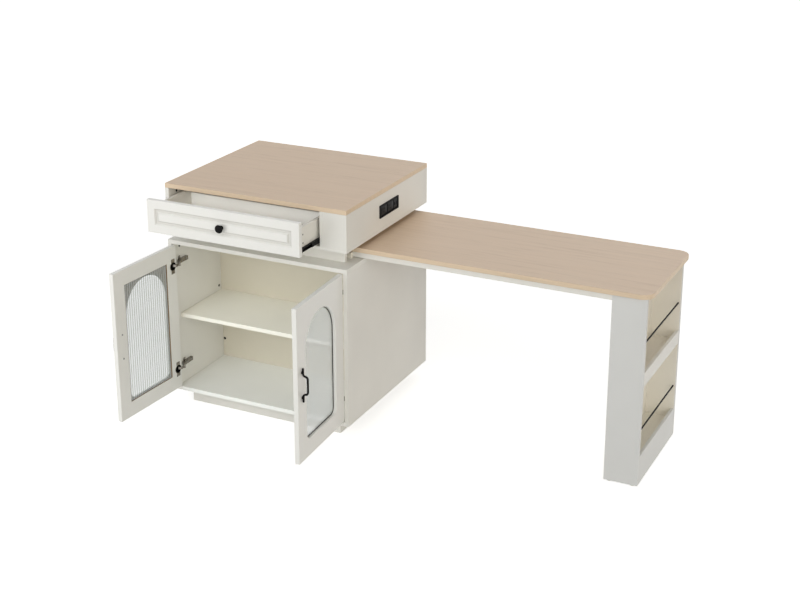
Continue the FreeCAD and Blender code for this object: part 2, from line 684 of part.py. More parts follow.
def build_drawer_box():
    panel("drawer_left_side", ("drawer_board", "slide_length", "drawer_side_height"),
          ("drawer_box_left", "drawer_start", "drawer_side_bottom"))
    panel("drawer_right_side", ("drawer_board", "slide_length", "drawer_side_height"),
          ("drawer_box_right - drawer_board", "drawer_start", "drawer_side_bottom"))
    panel("drawer_back", ("drawer_inner_width", "drawer_board", "drawer_side_height - drawer_back_drop"),
          ("drawer_inner_left", "drawer_back_face", "drawer_side_bottom"))
    panel("drawer_bottom", ("drawer_inner_width", "slide_length - drawer_board", "drawer_bottom_board"),
          ("drawer_inner_left", "drawer_start", "drawer_bottom_top - drawer_bottom_board"))
    screws = []
    for start in ("drawer_box_left - drawer_screw_height", "drawer_box_right"):
        for drop in ("drawer_screw_drop", "drawer_screw_drop + drawer_screw_spacing"):
            screws.append(cylinder("drawer_screw%d" % len(screws), "drawer_screw_radius",
                                   "drawer_screw_height",
                                   (start, "drawer_start + drawer_screw_inset",
                                    "drawer_side_bottom + drawer_side_height - (" + drop + ")"), "x"))
    together("drawer_screws", screws)


KNOB_SHARES = ((0.56, 0), (0.5, 0.1), (0.4, 0.3), (0.5, 0.48), (0.8, 0.6), (1, 0.74),
               (0.9, 0.88), (0.5, 0.97), (0, 1))


def build_knob():
    """A turned knob: a foot, a waist and a domed head."""
    radius = size("knob_radius")
    height = size("knob_height")
    points = [Vector(out * radius, 0, rise * height) for out, rise in KNOB_SHARES]
    curve = Part.BSplineCurve()
    curve.interpolate(Points=points, InitialTangent=Vector(0, 0, 1), FinalTangent=Vector(-1, 0, 0))
    sides = [Part.LineSegment(Vector(), points[0]).toShape(), curve.toShape(),
             Part.LineSegment(points[-1], Vector()).toShape()]
    shape = Part.Face(Part.Wire(sides)).revolve(Vector(), Vector(0, 0, 1), 360)
    middle = size("drawer_left") + size("drawer_width") / 2
    level = size("drawer_bottom_edge") + size("drawer_front_height") / 2
    finished(shaped("drawer_knob", shape, (middle, size("drawer_face"), level),
                    Rotation(Vector(1, 0, 0), 90)), "drawer_knob")


def channel(name, side, depth, height, start, lift, facing):
    """A slide member: a sheet channel along the drawer, open towards the drawer or the cabinet."""
    x_start = {"left": "inner_left + " + start,
               "right": "partition_left - (" + start + ") - (" + depth + ")"}[side]
    solid = box(name + "_bar", (depth, "slide_length", height),
                (x_start, lift, "slide_level - (" + height + ") / 2"))
    open_left = (facing == "drawer") == (side == "right")
    shift = "-cut_overrun" if open_left else "slide_steel"
    hollow = box(name + "_hollow",
                 (depth + " - slide_steel + cut_overrun", "slide_length + 2 * cut_overrun",
                  height + " - 2 * slide_steel"),
                 (x_start + " + " + shift, lift + " - cut_overrun",
                  "slide_level - (" + height + ") / 2 + slide_steel"))
    return cut(name, solid, [hollow])


def build_slides():
    inner = "2 * (slide_steel + slide_gap)"
    middle_height = "slide_height - " + inner
    drawer_height = "slide_height - 2 * (" + inner + ")"
    web = "slide_steel + slide_gap"
    middle_depth = "slide_depth - " + web
    drawer_depth = "slide_space - 2 * (" + web + ")"
    cabinet = [channel("cabinet_rail_" + side, side, "slide_depth", "slide_height", "0",
                       "slide_start", "drawer") for side in ("left", "right")]
    together("slide_cabinet_rails", cabinet)
    middle = [channel("middle_rail_" + side, side, middle_depth, middle_height, web,
                      "slide_start - drawer_open / 2", "drawer") for side in ("left", "right")]
    together("slide_middle_rails", middle)
    moving = [channel("drawer_rail_" + side, side, drawer_depth, drawer_height, "2 * (" + web + ")",
                      "slide_start - drawer_open", "cabinet") for side in ("left", "right")]
    together("slide_drawer_rails", moving)


# Doors, built shut about their pivots and then turned open

def across(side, near, width):
    """Where a stretch of a door starts, measured from its pivot."""
    return near if side == "left" else "-(" + near + ") - (" + width + ")"


def middle_at(side, near):
    """A point of a door, measured from its pivot."""
    return near if side == "left" else "-(" + near + ")"


def on_door(part, side):
    """Hang a piece on its door, which stands open."""
    turn = {"left": "-", "right": ""}[side]
    part.Placement = Placement(Vector(), Rotation(Vector(0, 0, 1), size("door_open_angle")
                                                  * (1 if side == "right" else -1)))
    place(part, (turn + "door_pivot", "front", "0"))
    return part


def build_door_frame(side):
    name = side + "_door_frame"
    leaf = board(name + "_leaf", ("door_width", "door_thickness", "door_height"),
                 (across(side, "0", "door_width"), "0", "door_bottom"))
    through = "door_thickness + 2 * cut_overrun"
    lower = box(name + "_window_lower", ("2 * arch_radius", through, "arch_centre - window_bottom"),
                (across(side, "door_stile", "2 * arch_radius"), "-cut_overrun", "window_bottom"))
    tiny = size("edge_radius")
    corners = edges_where(lower, lambda edge: edge.BoundBox.YLength > size("door_thickness")
                          and edge.BoundBox.ZMax < size("window_bottom") + tiny)
    lower = rounded(name + "_window_base", lower, "window_corner", corners)
    arch = cylinder(name + "_window_arch", "arch_radius", through,
                    (middle_at(side, "door_width / 2"), "-cut_overrun", "arch_centre"), "y")
    rebate = box(name + "_rebate",
                 ("door_width - 2 * rebate_stile", "rebate_depth + cut_overrun",
                  "door_height - 2 * rebate_stile"),
                 (across(side, "rebate_stile", "door_width - 2 * rebate_stile"),
                  "door_thickness - rebate_depth", "door_bottom + rebate_stile"))
    cups = [cylinder(name + "_cup_" + level, "cup_radius", "cup_depth + cut_overrun",
                     (middle_at(side, "cup_inset"), "door_thickness - cup_depth", level), "y")
            for level in ("lower_hinge", "upper_hinge")]
    window = joined(name + "_window", [lower, arch])
    frame = cut(name + "_cut", leaf, [window, rebate] + cups)
    outline = edges_where(frame, lambda edge: edge.BoundBox.YMax < tiny / 2
                          and edge.BoundBox.ZMin > size("window_bottom") - tiny
                          and edge.BoundBox.ZMax < size("door_top") - size("door_stile") / 2)
    bevel = doc.addObject("Part::Chamfer", name)
    bevel.Base = frame
    bevel.Edges = [(number, size("window_bevel"), size("window_bevel")) for number in outline]
    doc.recompute()
    finished(on_door(bevel, side), name)


def build_door_glass(side):
    name = side + "_door_glass"
    width = "door_width - 2 * (rebate_stile + glass_clearance)"
    pane = board(name + "_pane", (width, "glass_thickness", "door_height - 2 * (rebate_stile + glass_clearance)"),
                 (across(side, "rebate_stile + glass_clearance", width),
                  "door_thickness - rebate_depth", "door_bottom + rebate_stile + glass_clearance"))
    hung = doc.addObject("Part::Compound", name)
    hung.Links = [pane]
    finished(on_door(hung, side), name)


def bow_path(side):
    """The bar's centre line: a foot, an S-bend out, the grip, and the same back."""
    along = size("door_width") - size("handle_from_edge")
    sideways = along if side == "left" else -along
    level = size("handle_pad") + size("handle_radius")
    reach = size("handle_reach")
    bend = size("handle_bend_radius")
    tip = size("handle_spacing") / 2 + size("handle_foot")
    start = size("handle_spacing") / 2 - size("handle_shoulder")
    turn = math.acos(1 - reach / (2 * bend))

    def spot(out, height):
        return Vector(sideways, -level - out, size("handle_level") + height)

    def upper(swing):
        return spot(bend * (1 - math.cos(swing)), start - bend * math.sin(swing))

    def lower(swing):
        drop = 2 * bend * math.sin(turn)
        return spot(reach - bend * (1 - math.cos(swing)), start - drop + bend * math.sin(swing))

    def mirrored(point):
        return Vector(point.x, point.y, 2 * size("handle_level") - point.z)

    stations = [spot(0, tip), spot(0, start), upper(turn / 2), upper(turn), lower(turn / 2), lower(0)]
    back = [mirrored(point) for point in stations]
    return [Part.LineSegment(stations[0], stations[1]),
            Part.Arc(stations[1], stations[2], stations[3]),
            Part.Arc(stations[3], stations[4], stations[5]),
            Part.LineSegment(stations[5], back[5]),
            Part.Arc(back[5], back[4], back[3]),
            Part.Arc(back[3], back[2], back[1]),
            Part.LineSegment(back[1], back[0])]


def build_door_handle(side):
    """A bow handle on two feet, and its screws inside the door."""
    radius = size("handle_radius")
    curves = bow_path(side)
    path = Part.Wire([curve.toShape() for curve in curves])
    ends = [curves[0].StartPoint, curves[-1].EndPoint]
    ring = Part.Wire(Part.makeCircle(radius, ends[0], Vector(0, 0, 1)))
    shape = path.makePipeShell([ring], True, False)
    pieces = []
    for end, inward in zip(ends, (-1, 1)):
        pieces.append(Part.makeSphere(radius, end))
        screw = Vector(end.x, 0, end.z + inward * size("handle_foot"))
        pieces.append(Part.makeCylinder(size("handle_pad_radius"), -end.y, screw, Vector(0, -1, 0)))
    shape = shape.fuse(pieces).removeSplitter()
    finished(on_door(shaped(side + "_door_handle", shape), side), side + "_door_handle")
    hung = doc.addObject("Part::Compound", side + "_handle_screws")
    hung.Links = [cylinder(side + "_handle_screw" + way, "handle_screw_radius", "handle_screw_height",
                           (middle_at(side, "door_width - handle_from_edge"), "door_thickness",
                            "handle_level " + sign + " handle_spacing / 2"), "y")
                  for way, sign in (("_low", "-"), ("_high", "+"))]
    finished(on_door(hung, side), side + "_handle_screws")


def hook_tip():
    """Where the link's hook ends at rest, measured along and across the open door."""
    first = math.radians(size("link_open_angle"))
    second = first + math.radians(size("link_hook_angle"))
    tip = Vector(size("hinge_pin_out") + size("link_length") * math.cos(first)
                 + size("link_hook") * math.cos(second),
                 size("hinge_pin_in") - size("link_length") * math.sin(first)
                 - size("link_hook") * math.sin(second), 0)
    return Rotation(Vector(0, 0, 1), size("door_open_angle")).multVec(tip)


def cup_pin(name, side, level):
    """The pin across a cup, beside the hook's tip."""
    radius = size("cup_pin_radius")
    away = radius + size("cup_pin_clearance") + size("link_thickness") / 2
    angle = math.radians(size("cup_pin_angle"))
    spot = hook_tip() + Vector(away * math.cos(angle), -away * math.sin(angle), 0)
    wall = size("cup_radius") - size("cup_wall") / 2
    half = math.sqrt(wall ** 2 - (spot.x - size("cup_inset")) ** 2)
    sideways = spot.x if side == "left" else -spot.x
    return shaped(name, Part.makeCylinder(radius, 2 * half), (sideways, spot.y, size(level) - half))


def build_hinge_cups(side):
    """Pressed cups in the leaf's bores, each with a flange on the inner face and a pin across."""
    cups = []
    for level in ("lower_hinge", "upper_hinge"):
        name = side + "_" + level
        centre = middle_at(side, "cup_inset")
        bowl = cylinder(name + "_bowl", "cup_radius", "cup_depth",
                        (centre, "door_thickness - cup_depth", level), "y")
        flange = box(name + "_flange", ("flange_width", "flange_thickness", "flange_length"),
                     (centre + " - flange_width / 2", "door_thickness", level + " - flange_length / 2"))
        rim = cylinder(name + "_rim", "cup_radius", "flange_thickness",
                       (centre, "door_thickness", level), "y")
        hollow = cylinder(name + "_hollow", "cup_radius - cup_wall",
                          "cup_depth + flange_thickness - cup_wall + cut_overrun",
                          (centre, "door_thickness - cup_depth + cup_wall", level), "y")
        shell = cut(name + "_shell", joined(name + "_body", [bowl, flange, rim]), [hollow])
        cups.append(joined(name + "_cup", [shell, cup_pin(name + "_pin", side, level)]))
    hung = doc.addObject("Part::Compound", side + "_hinge_cups")
    hung.Links = cups
    finished(on_door(hung, side), side + "_hinge_cups")


def hinge_arm(sign):
    """One arm with its mounting plate, about the door's pivot, at its hinge's level."""
    half = size("hinge_arm_width") / 2
    near = size("plate_thickness") - size("door_gap")
    far = near + size("hinge_arm_depth")
    pin = Vector(size("hinge_pin_out"), size("hinge_pin_in"), 0)
    cheek = size("hinge_cheek_radius")
    knee = size("hinge_arm_knee")
    outline = [(near, size("hinge_arm_end")), (far, size("hinge_arm_end")), (far, knee),
               (pin.x + cheek, pin.y), (pin.x - cheek, pin.y), (pin.x - cheek, pin.y + cheek),
               (near, knee - size("hinge_arm_depth"))]
    points = [Vector(sign * x, y, -half) for x, y in outline]
    bar = Part.Face(Part.makePolygon(points + points[:1])).extrude(Vector(0, 0, 2 * half))
    tip = Part.makeCylinder(cheek, 2 * half, Vector(sign * pin.x, pin.y, -half))
    slot_half = size("hinge_slot_width") / 2
    slot = Part.makeCylinder(size("hinge_slot_length"), 2 * slot_half,
                             Vector(sign * pin.x, pin.y, -slot_half))
    bolt = Part.makeCylinder(size("hinge_pin_radius"), 2 * half, Vector(sign * pin.x, pin.y, -half))
    arm = bar.fuse([tip]).cut(slot)
    wings = plate_piece(sign, size("plate_setback") - size("plate_width") / 2, size("plate_width"),
                        size("plate_length"))
    base = plate_piece(sign, knee, size("hinge_arm_end") - knee, 2 * half)
    return arm.fuse([wings, base, bolt]).removeSplitter()


def plate_piece(sign, start, length, height):
    """A flat piece of the mounting plate, against the side board."""
    thickness = size("plate_thickness")
    wall = -size("door_gap")
    corner = Vector(wall if sign > 0 else -wall - thickness, start, -height / 2)
    return Part.makeBox(thickness, length, height, corner)


def hinge_link(sign):
    """One hooked link about its pin: an eye, a bar along +X, and a hook into the cup."""
    half = size("link_width") / 2
    reach = size("link_length")
    thick = size("link_thickness")
    knuckle = Vector(reach, 0, -half)
    hook = Part.makeBox(size("link_hook"), thick, 2 * half, Vector(0, -thick / 2, -half))
    hook = hook.fuse([Part.makeCylinder(thick / 2, 2 * half, Vector(size("link_hook"), 0, -half))])
    turn = Rotation(Vector(0, 0, 1), -sign * size("link_hook_angle"))
    hook = hook.transformGeometry(Placement(Vector(reach, 0, 0), turn).toMatrix())
    eye = Part.makeCylinder(size("hinge_eye_radius"), 2 * half, Vector(0, 0, -half))
    bar = Part.makeBox(reach, thick, 2 * half, Vector(0, -thick / 2, -half))
    bore = Part.makeCylinder(size("hinge_pin_radius") + size("hinge_pin_clearance"), 4 * half,
                             Vector(0, 0, -2 * half))
    pieces = [bar, Part.makeCylinder(thick / 2, 2 * half, knuckle), hook]
    return eye.fuse(pieces).cut(bore).removeSplitter()


def build_hinges(side):
    sign = 1 if side == "left" else -1
    pivot_x = -sign * size("door_pivot")
    levels = (size("lower_hinge"), size("upper_hinge"))
    arms = []
    links = []
    for number, level in enumerate(levels):
        arms.append(shaped("%s_arm%d" % (side, number), hinge_arm(sign),
                           (pivot_x, size("front"), level)))
        pin = (pivot_x + sign * size("hinge_pin_out"), size("front") + size("hinge_pin_in"), level)
        angle = -size("link_open_angle") if side == "left" else -180 + size("link_open_angle")
        links.append(shaped("%s_link%d" % (side, number), hinge_link(sign), pin,
                            Rotation(Vector(0, 0, 1), angle)))
    together(side + "_hinge_arms", arms)
    together(side + "_hinge_links", links)


def build_plate_screws():
    screws = []
    for level in ("lower_hinge", "upper_hinge"):
        for way in ("-", "+"):
            height = level + " " + way + " plate_screw_spacing / 2"
            for start in ("inner_left + plate_thickness",
                          "inner_right - plate_thickness - plate_screw_height"):
                screws.append(cylinder("plate_screw%d" % len(screws), "plate_screw_radius",
                                       "plate_screw_height",
                                       (start, "front + plate_setback", height), "x"))
    together("hinge_plate_screws", screws)


# Table and its leg

def build_table_top():
    """A board with two rounded outer corners and softened edges."""
    body = doc.addObject("PartDesign::Body", "table_top")
    outline = rectangle_sketch(body, "table_outline", "0",
                               [("0", "0", "table_end - table_inner", "table_depth")])
    pad = body.newObject("PartDesign::Pad", "table_pad")
    pad.Profile = outline
    pad.setExpression("Length", linked("wood_thickness"))
    doc.recompute()
    end = size("table_end") - size("table_inner")
    tiny = size("edge_radius")
    corners = body.newObject("PartDesign::Fillet", "table_corners")
    corners.Base = (pad, edge_names(pad, lambda edge: edge.BoundBox.XMin > end - tiny
                                    and edge.BoundBox.ZLength > tiny))
    corners.setExpression("Radius", linked("table_corner"))
    doc.recompute()
    rim = body.newObject("PartDesign::Fillet", "table_rim")
    rim.Base = (corners, edge_names(corners, lambda edge: edge.BoundBox.ZLength < tiny))
    rim.setExpression("Radius", linked("wood_edge_radius"))
    body.Tip = rim
    place(body, ("table_inner", "table_front", "table_underside"))
    finished(body, "table_top")


def build_table():
    build_table_top()
    length = "leg_left - apron_inner"
    together("table_aprons", [
        board("front_apron", (length, "board", "apron_height"),
              ("apron_inner", "apron_front", "apron_bottom")),
        board("rear_apron", (length, "board", "apron_height"),
              ("apron_inner", "apron_back - board", "apron_bottom"))])
    panel("table_end_rail", ("board", "leg_inner_depth", "apron_height"),
          ("apron_inner", "apron_front + board", "apron_bottom"))


def build_leg():
    together("leg_side_panels", [
        board("leg_front_panel", ("leg_width", "board", "leg_height"),
              ("leg_left", "apron_front", "glide_height")),
        board("leg_rear_panel", ("leg_width", "board", "leg_height"),
              ("leg_left", "apron_back - board", "glide_height"))])
    inside = "apron_front + board"
    panel("leg_inner_panel", ("board", "leg_inner_depth", "leg_height"),
          ("leg_left", inside, "glide_height"))
    shelf = ("leg_width - board - lip_board", "leg_inner_depth", "board")
    together("leg_shelves", [
        board("leg_upper_shelf", shelf, ("leg_left + board", inside, "leg_shelf_height - board")),
        board("leg_lower_shelf", shelf, ("leg_left + board", inside, "leg_base_height - board"))])
    panel("leg_shelf_lip", ("lip_board", "leg_inner_depth", "lip_height"),
          ("leg_right - lip_board", inside, "leg_shelf_height - board"))
    panel("leg_toe_board", ("lip_board", "leg_inner_depth", "toe_height - glide_height"),
          ("leg_right - lip_board", inside, "glide_height"))
    together("guard_rods", [
        cylinder("guard_rod_" + name, "rod_radius", "leg_inner_depth",
                 ("leg_right - rod_inset", inside, level), "y")
        for name, level in (("upper", "upper_rod_height"), ("lower", "lower_rod_height"))])
    feet = []
    for x_place in ("leg_left + glide_inset", "leg_right - glide_inset"):
        for y_place in ("apron_front + board / 2", "apron_back - board / 2"):
            feet.append(cylinder("leg_glide%d" % len(feet), "board / 2", "glide_height",
                                 (x_place, y_place, "0"), "z"))
    for y_place in ("apron_front", "apron_back - board"):
        feet.append(box("slide_pad%d" % len(feet),
                        ("pad_length", "board", "apron_bottom - cabinet_height - pad_clearance"),
                        ("apron_inner", y_place, "cabinet_height + pad_clearance")))
    together("table_glides", feet)


build_box()
build_outlet()
build_cabinet()
build_caps()
build_pocket()
build_drawer_front()
build_drawer_box()
build_knob()
build_slides()
for door_side in ("left", "right"):
    build_door_frame(door_side)
    build_door_glass(door_side)
    build_door_handle(door_side)
    build_hinge_cups(door_side)
    build_hinges(door_side)
build_plate_screws()
build_table()
build_leg()
doc.recompute()

# Every feature has to be sound before anything is written

for item in doc.Objects:
    if "Invalid" in item.State or "Error" in item.State:
        raise RuntimeError("%s could not be built: %s" % (item.Label, item.State))
for item in nodes:
    if item.Shape.isNull() or not item.Shape.isValid():
        raise RuntimeError("%s has no sound shape" % item.Label)

os.makedirs("parts", exist_ok=True)
for item in nodes:
    item.Shape.exportStep("parts/" + item.Label + ".step")
    span = item.Shape.BoundBox
    print("%-22s %2d solids  x %8.1f %8.1f  y %8.1f %8.1f  z %7.1f %7.1f" % (
        item.Label, len(item.Shape.Solids), span.XMin, span.XMax, span.YMin, span.YMax,
        span.ZMin, span.ZMax))
print(len(nodes), "nodes")
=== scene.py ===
import json
import math

import bmesh
import bpy
from mathutils import Matrix, Vector


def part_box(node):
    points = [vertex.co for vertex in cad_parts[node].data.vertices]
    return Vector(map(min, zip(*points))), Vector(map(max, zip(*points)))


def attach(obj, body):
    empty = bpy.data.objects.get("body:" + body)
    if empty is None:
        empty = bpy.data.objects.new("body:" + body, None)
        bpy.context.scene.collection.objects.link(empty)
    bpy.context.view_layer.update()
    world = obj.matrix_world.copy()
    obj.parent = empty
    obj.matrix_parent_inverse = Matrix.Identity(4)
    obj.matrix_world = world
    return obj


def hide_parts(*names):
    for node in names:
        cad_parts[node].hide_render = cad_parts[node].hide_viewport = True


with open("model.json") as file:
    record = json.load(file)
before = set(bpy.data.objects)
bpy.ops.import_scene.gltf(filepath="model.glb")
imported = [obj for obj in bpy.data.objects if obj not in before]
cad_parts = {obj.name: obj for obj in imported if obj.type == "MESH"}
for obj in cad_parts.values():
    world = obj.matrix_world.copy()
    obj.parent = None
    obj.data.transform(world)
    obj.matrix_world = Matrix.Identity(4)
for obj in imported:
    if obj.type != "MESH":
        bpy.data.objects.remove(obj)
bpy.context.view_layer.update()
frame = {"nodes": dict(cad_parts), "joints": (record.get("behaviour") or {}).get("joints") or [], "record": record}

bl_info = {
    "name": "Kitchen Island",
    "version": (1, 0, 0),
    "blender": (4, 5, 0),
    "location": "View3D > Sidebar > Kitchen Island",
    "description": "Finishes, fittings and stage for a white kitchen island with a sliding bar table",
    "category": "Object",
}

NODES = frame["nodes"]
SLOT_OF = {part["node"]: part["material_slot"] for part in frame["record"]["subparts"]}
JOINTS = {joint["name"]: joint for joint in frame["joints"]}
MM = 0.001


# Sizes and colours that a user would change

def length(name, description, default, least):
    """A property that holds a length in metres."""
    return bpy.props.FloatProperty(
        name=name, description=description, default=default, min=least, unit="LENGTH")


def hex_value(name, description, default):
    """A property that holds an sRGB hex value."""
    return bpy.props.StringProperty(name=name, description=description, default=default)


class IslandSizes(bpy.types.PropertyGroup):
    """Sizes of the fittings that are modelled here, in metres."""
    reed_pitch: length("Reed pitch", "Distance between two reeds of the glass", 0.0125, 0.003)
    reed_height: length("Reed height", "How far a reed stands out of the glass", 0.0016, 0.0002)
    leaf_width: length("Leaf width", "Width of a door leaf", 0.371, 0.2)
    leaf_thickness: length("Leaf thickness", "Thickness of a door leaf", 0.018, 0.01)
    leaf_stile: length("Stile", "Window to the leaf's edge", 0.066, 0.03)
    rebate_margin: length("Rebate", "Glass rebate beyond the window", 0.006, 0.002)
    rebate_depth: length("Rebate depth", "Glass rebate from the leaf's inner face", 0.005, 0.002)
    plate_screw: length("Plate screw", "Radius of a hinge plate's screw head", 0.0036, 0.001)
    cam_radius: length("Cam lock", "Radius of a cam lock's face", 0.0055, 0.002)


class IslandColours(bpy.types.PropertyGroup):
    """Colours as sRGB hex values."""
    oak: hex_value("Oak print", "Middle tone of the wood-grain tops", "#D5BCA1")
    oak_dark: hex_value("Oak streaks", "Darker streaks of the wood-grain tops", "#C5A88A")
    # Painted light: the tops' sides take this lighter tone
    oak_edge: hex_value("Oak edge", "Edge band of the wood-grain tops", "#E0CAAE")
    white: hex_value("White board", "Melamine face of the carcass boards", "#EBEAE4")
    leg: hex_value("Leg board", "Melamine face of the leg's outside", "#DCDDDB")
    # Painted light: the leg's recess takes this lighter white
    recess: hex_value("Leg recess", "Melamine face of the leg's inside", "#F0ECE1")
    inner: hex_value("Inner board", "Melamine face of the shelves and the table's guides", "#F0ECDF")
    # Painted shade: the cupboard's back takes this darker white than its shelves
    back: hex_value("Back board", "Painted face of the cupboard's back", "#E1DBCA")
    front: hex_value("Front foil", "Foil over the routed fronts", "#EEEEEA")
    # Painted shade: the groove's floor and its flanks that don't look up take this darker foil
    groove: hex_value("Foil in the groove", "Foil drawn thin over the routed groove", "#DBDAD5")
    drawer: hex_value("Drawer board", "Paper-wrapped drawer sides", "#EAE8E0")
    # Painted light: the drawer's back and bottom take this lighter paper
    lining: hex_value("Drawer lining", "Paper on the drawer's back and bottom", "#F7F5EE")
    fibre: hex_value("Raw fibreboard", "Bare core of the door leaves", "#8F7350")
    glass: hex_value("Reeded glass", "Tint of the reeded panes", "#B9C0BA")
    # Painted shade: the flats beside each valley between two reeds take this darker glass
    valley: hex_value("Between two reeds", "Tint where the glass bends light away", "#A8B0AA")
    # Painted shadow: a black strip round each pane draws the dark line at the glass's edge
    seal: hex_value("Glazing seal", "Black strip round the panes", "#1B1D1C")
    black: hex_value("Black powder coat", "Handles, knob and guard rods", "#09090A")
    slide: hex_value("Slide coat", "Black coat of the drawer slides", "#070708")
    nickel: hex_value("Nickel plate", "Hinges", "#8F8A82")
    # Painted shade inside each hinge cup and in the crosses of its flange screws
    cup: hex_value("Hinge cup", "Darkened steel inside a hinge cup", "#1C1B1A")
    zinc: hex_value("Zinc plate", "Screws", "#A7A8A6")
    # Dark steel of the cam locks and of the drawer's and slides' screws; inside the zinc screws' crosses it is
    # painted shade
    screw: hex_value("Dark steel", "Cross recesses, cam locks and drawer screws", "#4A4A4A")
    outlet: hex_value("Outlet", "Bezel and housing of the outlet", "#060607")
    module: hex_value("Outlet module", "Face of a socket or port module", "#101113")
    shade: hex_value("Shade", "Inside of the outlet's holes and of dark screws", "#050506")
    glide: hex_value("Glide", "Nylon under the leg", "#DAD8D0")


def linear(code):
    """An sRGB hex value as linear red, green, blue and alpha."""
    channels = [int(code[i:i + 2], 16) / 255 for i in (1, 3, 5)]
    return [c / 12.92 if c <= 0.04045 else ((c + 0.055) / 1.055) ** 2.4 for c in channels] + [1.0]


def tinted(code, share):
    """The linear colour of a hex value made lighter or darker by a share."""
    return [min(1.0, channel * share) for channel in linear(code)[:3]] + [1.0]


# Shader helpers

# A noise pattern keeps mostly between these two values
PATTERN_LOW, PATTERN_HIGH = 0.3, 0.7


def add(tree, kind, settings=None, links=None):
    """Add one shader node with its settings, and link outputs of other nodes to its inputs."""
    node = tree.nodes.new(kind)
    for name, value in (settings or {}).items():
        if isinstance(name, int) or name in node.inputs:
            node.inputs[name].default_value = value
        else:
            setattr(node, name, value)
    for name, source in (links or {}).items():
        tree.links.new(source, node.inputs[name])
    return node


def new_material(name, code):
    """The tree of an empty node material, which shows a hex value in the viewport."""
    material = bpy.data.materials.new(name)
    material.use_nodes = True
    material.node_tree.nodes.clear()
    material.diffuse_color = linear(code)
    return material.node_tree


def noise(tree, scale, detail, stretch=(1, 1, 1), rough=0.5, bend=0.0):
    """A cloudy pattern in the object's own coordinates, in metres, stretched along each axis."""
    place = add(tree, "ShaderNodeTexCoord")
    space = add(tree, "ShaderNodeMapping", {"Scale": stretch}, {"Vector": place.outputs["Object"]})
    return add(tree, "ShaderNodeTexNoise",
               {"Scale": scale, "Detail": detail, "Roughness": rough, "Distortion": bend},
               {"Vector": space.outputs["Vector"]}).outputs["Fac"]


def ramp(tree, source, stops):
    """A colour ramp between the given stops."""
    node = add(tree, "ShaderNodeValToRGB", links={"Fac": source})
    node.color_ramp.elements[0].position, node.color_ramp.elements[0].color = stops[0]
    node.color_ramp.elements[1].position, node.color_ramp.elements[1].color = stops[-1]
    for position, colour in stops[1:-1]:
        node.color_ramp.elements.new(position).color = colour
    return node.outputs["Color"]


def mottled(tree, source, code, darkest, lightest, end=PATTERN_HIGH):
    """A colour that follows a pattern between two shares of itself."""
    return ramp(tree, source, [(PATTERN_LOW, tinted(code, darkest)), (end, tinted(code, lightest))])


def spread(tree, source, low, high):
    """A pattern spread over a range of values."""
    return add(tree, "ShaderNodeMapRange",
               {"From Min": PATTERN_LOW, "From Max": PATTERN_HIGH, "To Min": low, "To Max": high},
               {"Value": source}).outputs[0]


def bump(tree, source, strength, distance):
    """A pattern as fine relief, with its height in metres."""
    return add(tree, "ShaderNodeBump", {"Strength": strength, "Distance": distance},
               {"Height": source}).outputs[0]


def either(tree, share, first, second):
    """One shader or the other, by a share."""
    return add(tree, "ShaderNodeMixShader",
               links={0: share, 1: first.outputs[0], 2: second.outputs[0]}).outputs[0]


def close(tree, settings, links=None):
    """End a material with its surface shader."""
    shader = add(tree, "ShaderNodeBsdfPrincipled", settings, links)
    add(tree, "ShaderNodeOutputMaterial", links={"Surface": shader.outputs[0]})


# Materials

def oak_laminate(name, code, streaks):
    """Oak-print melamine on chipboard, pressed against a grained plate: long pale streaks along the
    board, fine pores that catch the light, and a satin sheen. The edge band's lighter copy is painted light."""
    tree = new_material(name, code)
    # Growth bands about 15 mm wide and 300 mm long, the pores about 4 mm by 90 mm, which is coarser
    # than a real pore so that it shows
    bands = noise(tree, 3, 5, (1.1, 20, 20), 0.6, 0.5)
    pores = noise(tree, 4, 3, (2.8, 62, 62), 0.65)
    mixed = add(tree, "ShaderNodeMix", {"data_type": "FLOAT", 0: 0.45}, {2: bands, 3: pores})
    colour = ramp(tree, mixed.outputs[0],
                  [(0.28, streaks), (0.47, linear(code)), (0.72, tinted(code, 1.07))])
    close(tree, {"IOR": 1.5}, {"Base Color": colour, "Roughness": spread(tree, pores, 0.36, 0.48),
                               "Normal": bump(tree, pores, 0.25, 0.0003)})


def melamine(name, code, rough=0.4):
    """White melamine paper pressed on chipboard: even colour with a faint cloudiness, and the fine
    pearl texture of the press plate, which softens reflections."""
    tree = new_material(name, code)
    cloud = noise(tree, 5, 2)
    # The pearl texture's real grain of about 1 mm is drawn at 2.5 mm
    pearl = noise(tree, 400, 2)
    close(tree, {"IOR": 1.5}, {"Base Color": mottled(tree, cloud, code, 0.975, 1.015),
                               "Roughness": spread(tree, pearl, rough - 0.03, rough + 0.04),
                               "Normal": bump(tree, pearl, 0.12, 0.0002)})


def foil_front(name, code):
    """White thermoformed PVC foil on routed fibreboard: smoother and a little glossier than melamine,
    with the slow waviness that the foil takes when it is drawn over the board."""
    tree = new_material(name, code)
    wave = noise(tree, 70, 1)
    cloud = noise(tree, 6, 2)
    close(tree, {"Roughness": 0.34, "IOR": 1.53, "Coat Weight": 0.15, "Coat Roughness": 0.2},
          {"Base Color": mottled(tree, cloud, code, 0.985, 1), "Normal": bump(tree, wave, 0.1, 0.0004)})


def raw_fibreboard(name, code):
    """Bare routed fibreboard, brown and matt, with flecks of fibre and a fuzzy cut surface."""
    tree = new_material(name, code)
    fleck = noise(tree, 260, 4, rough=0.7)
    close(tree, {"Roughness": 0.85, "IOR": 1.45},
          {"Base Color": mottled(tree, fleck, code, 0.78, 1.15), "Normal": bump(tree, fleck, 0.3, 0.0004)})


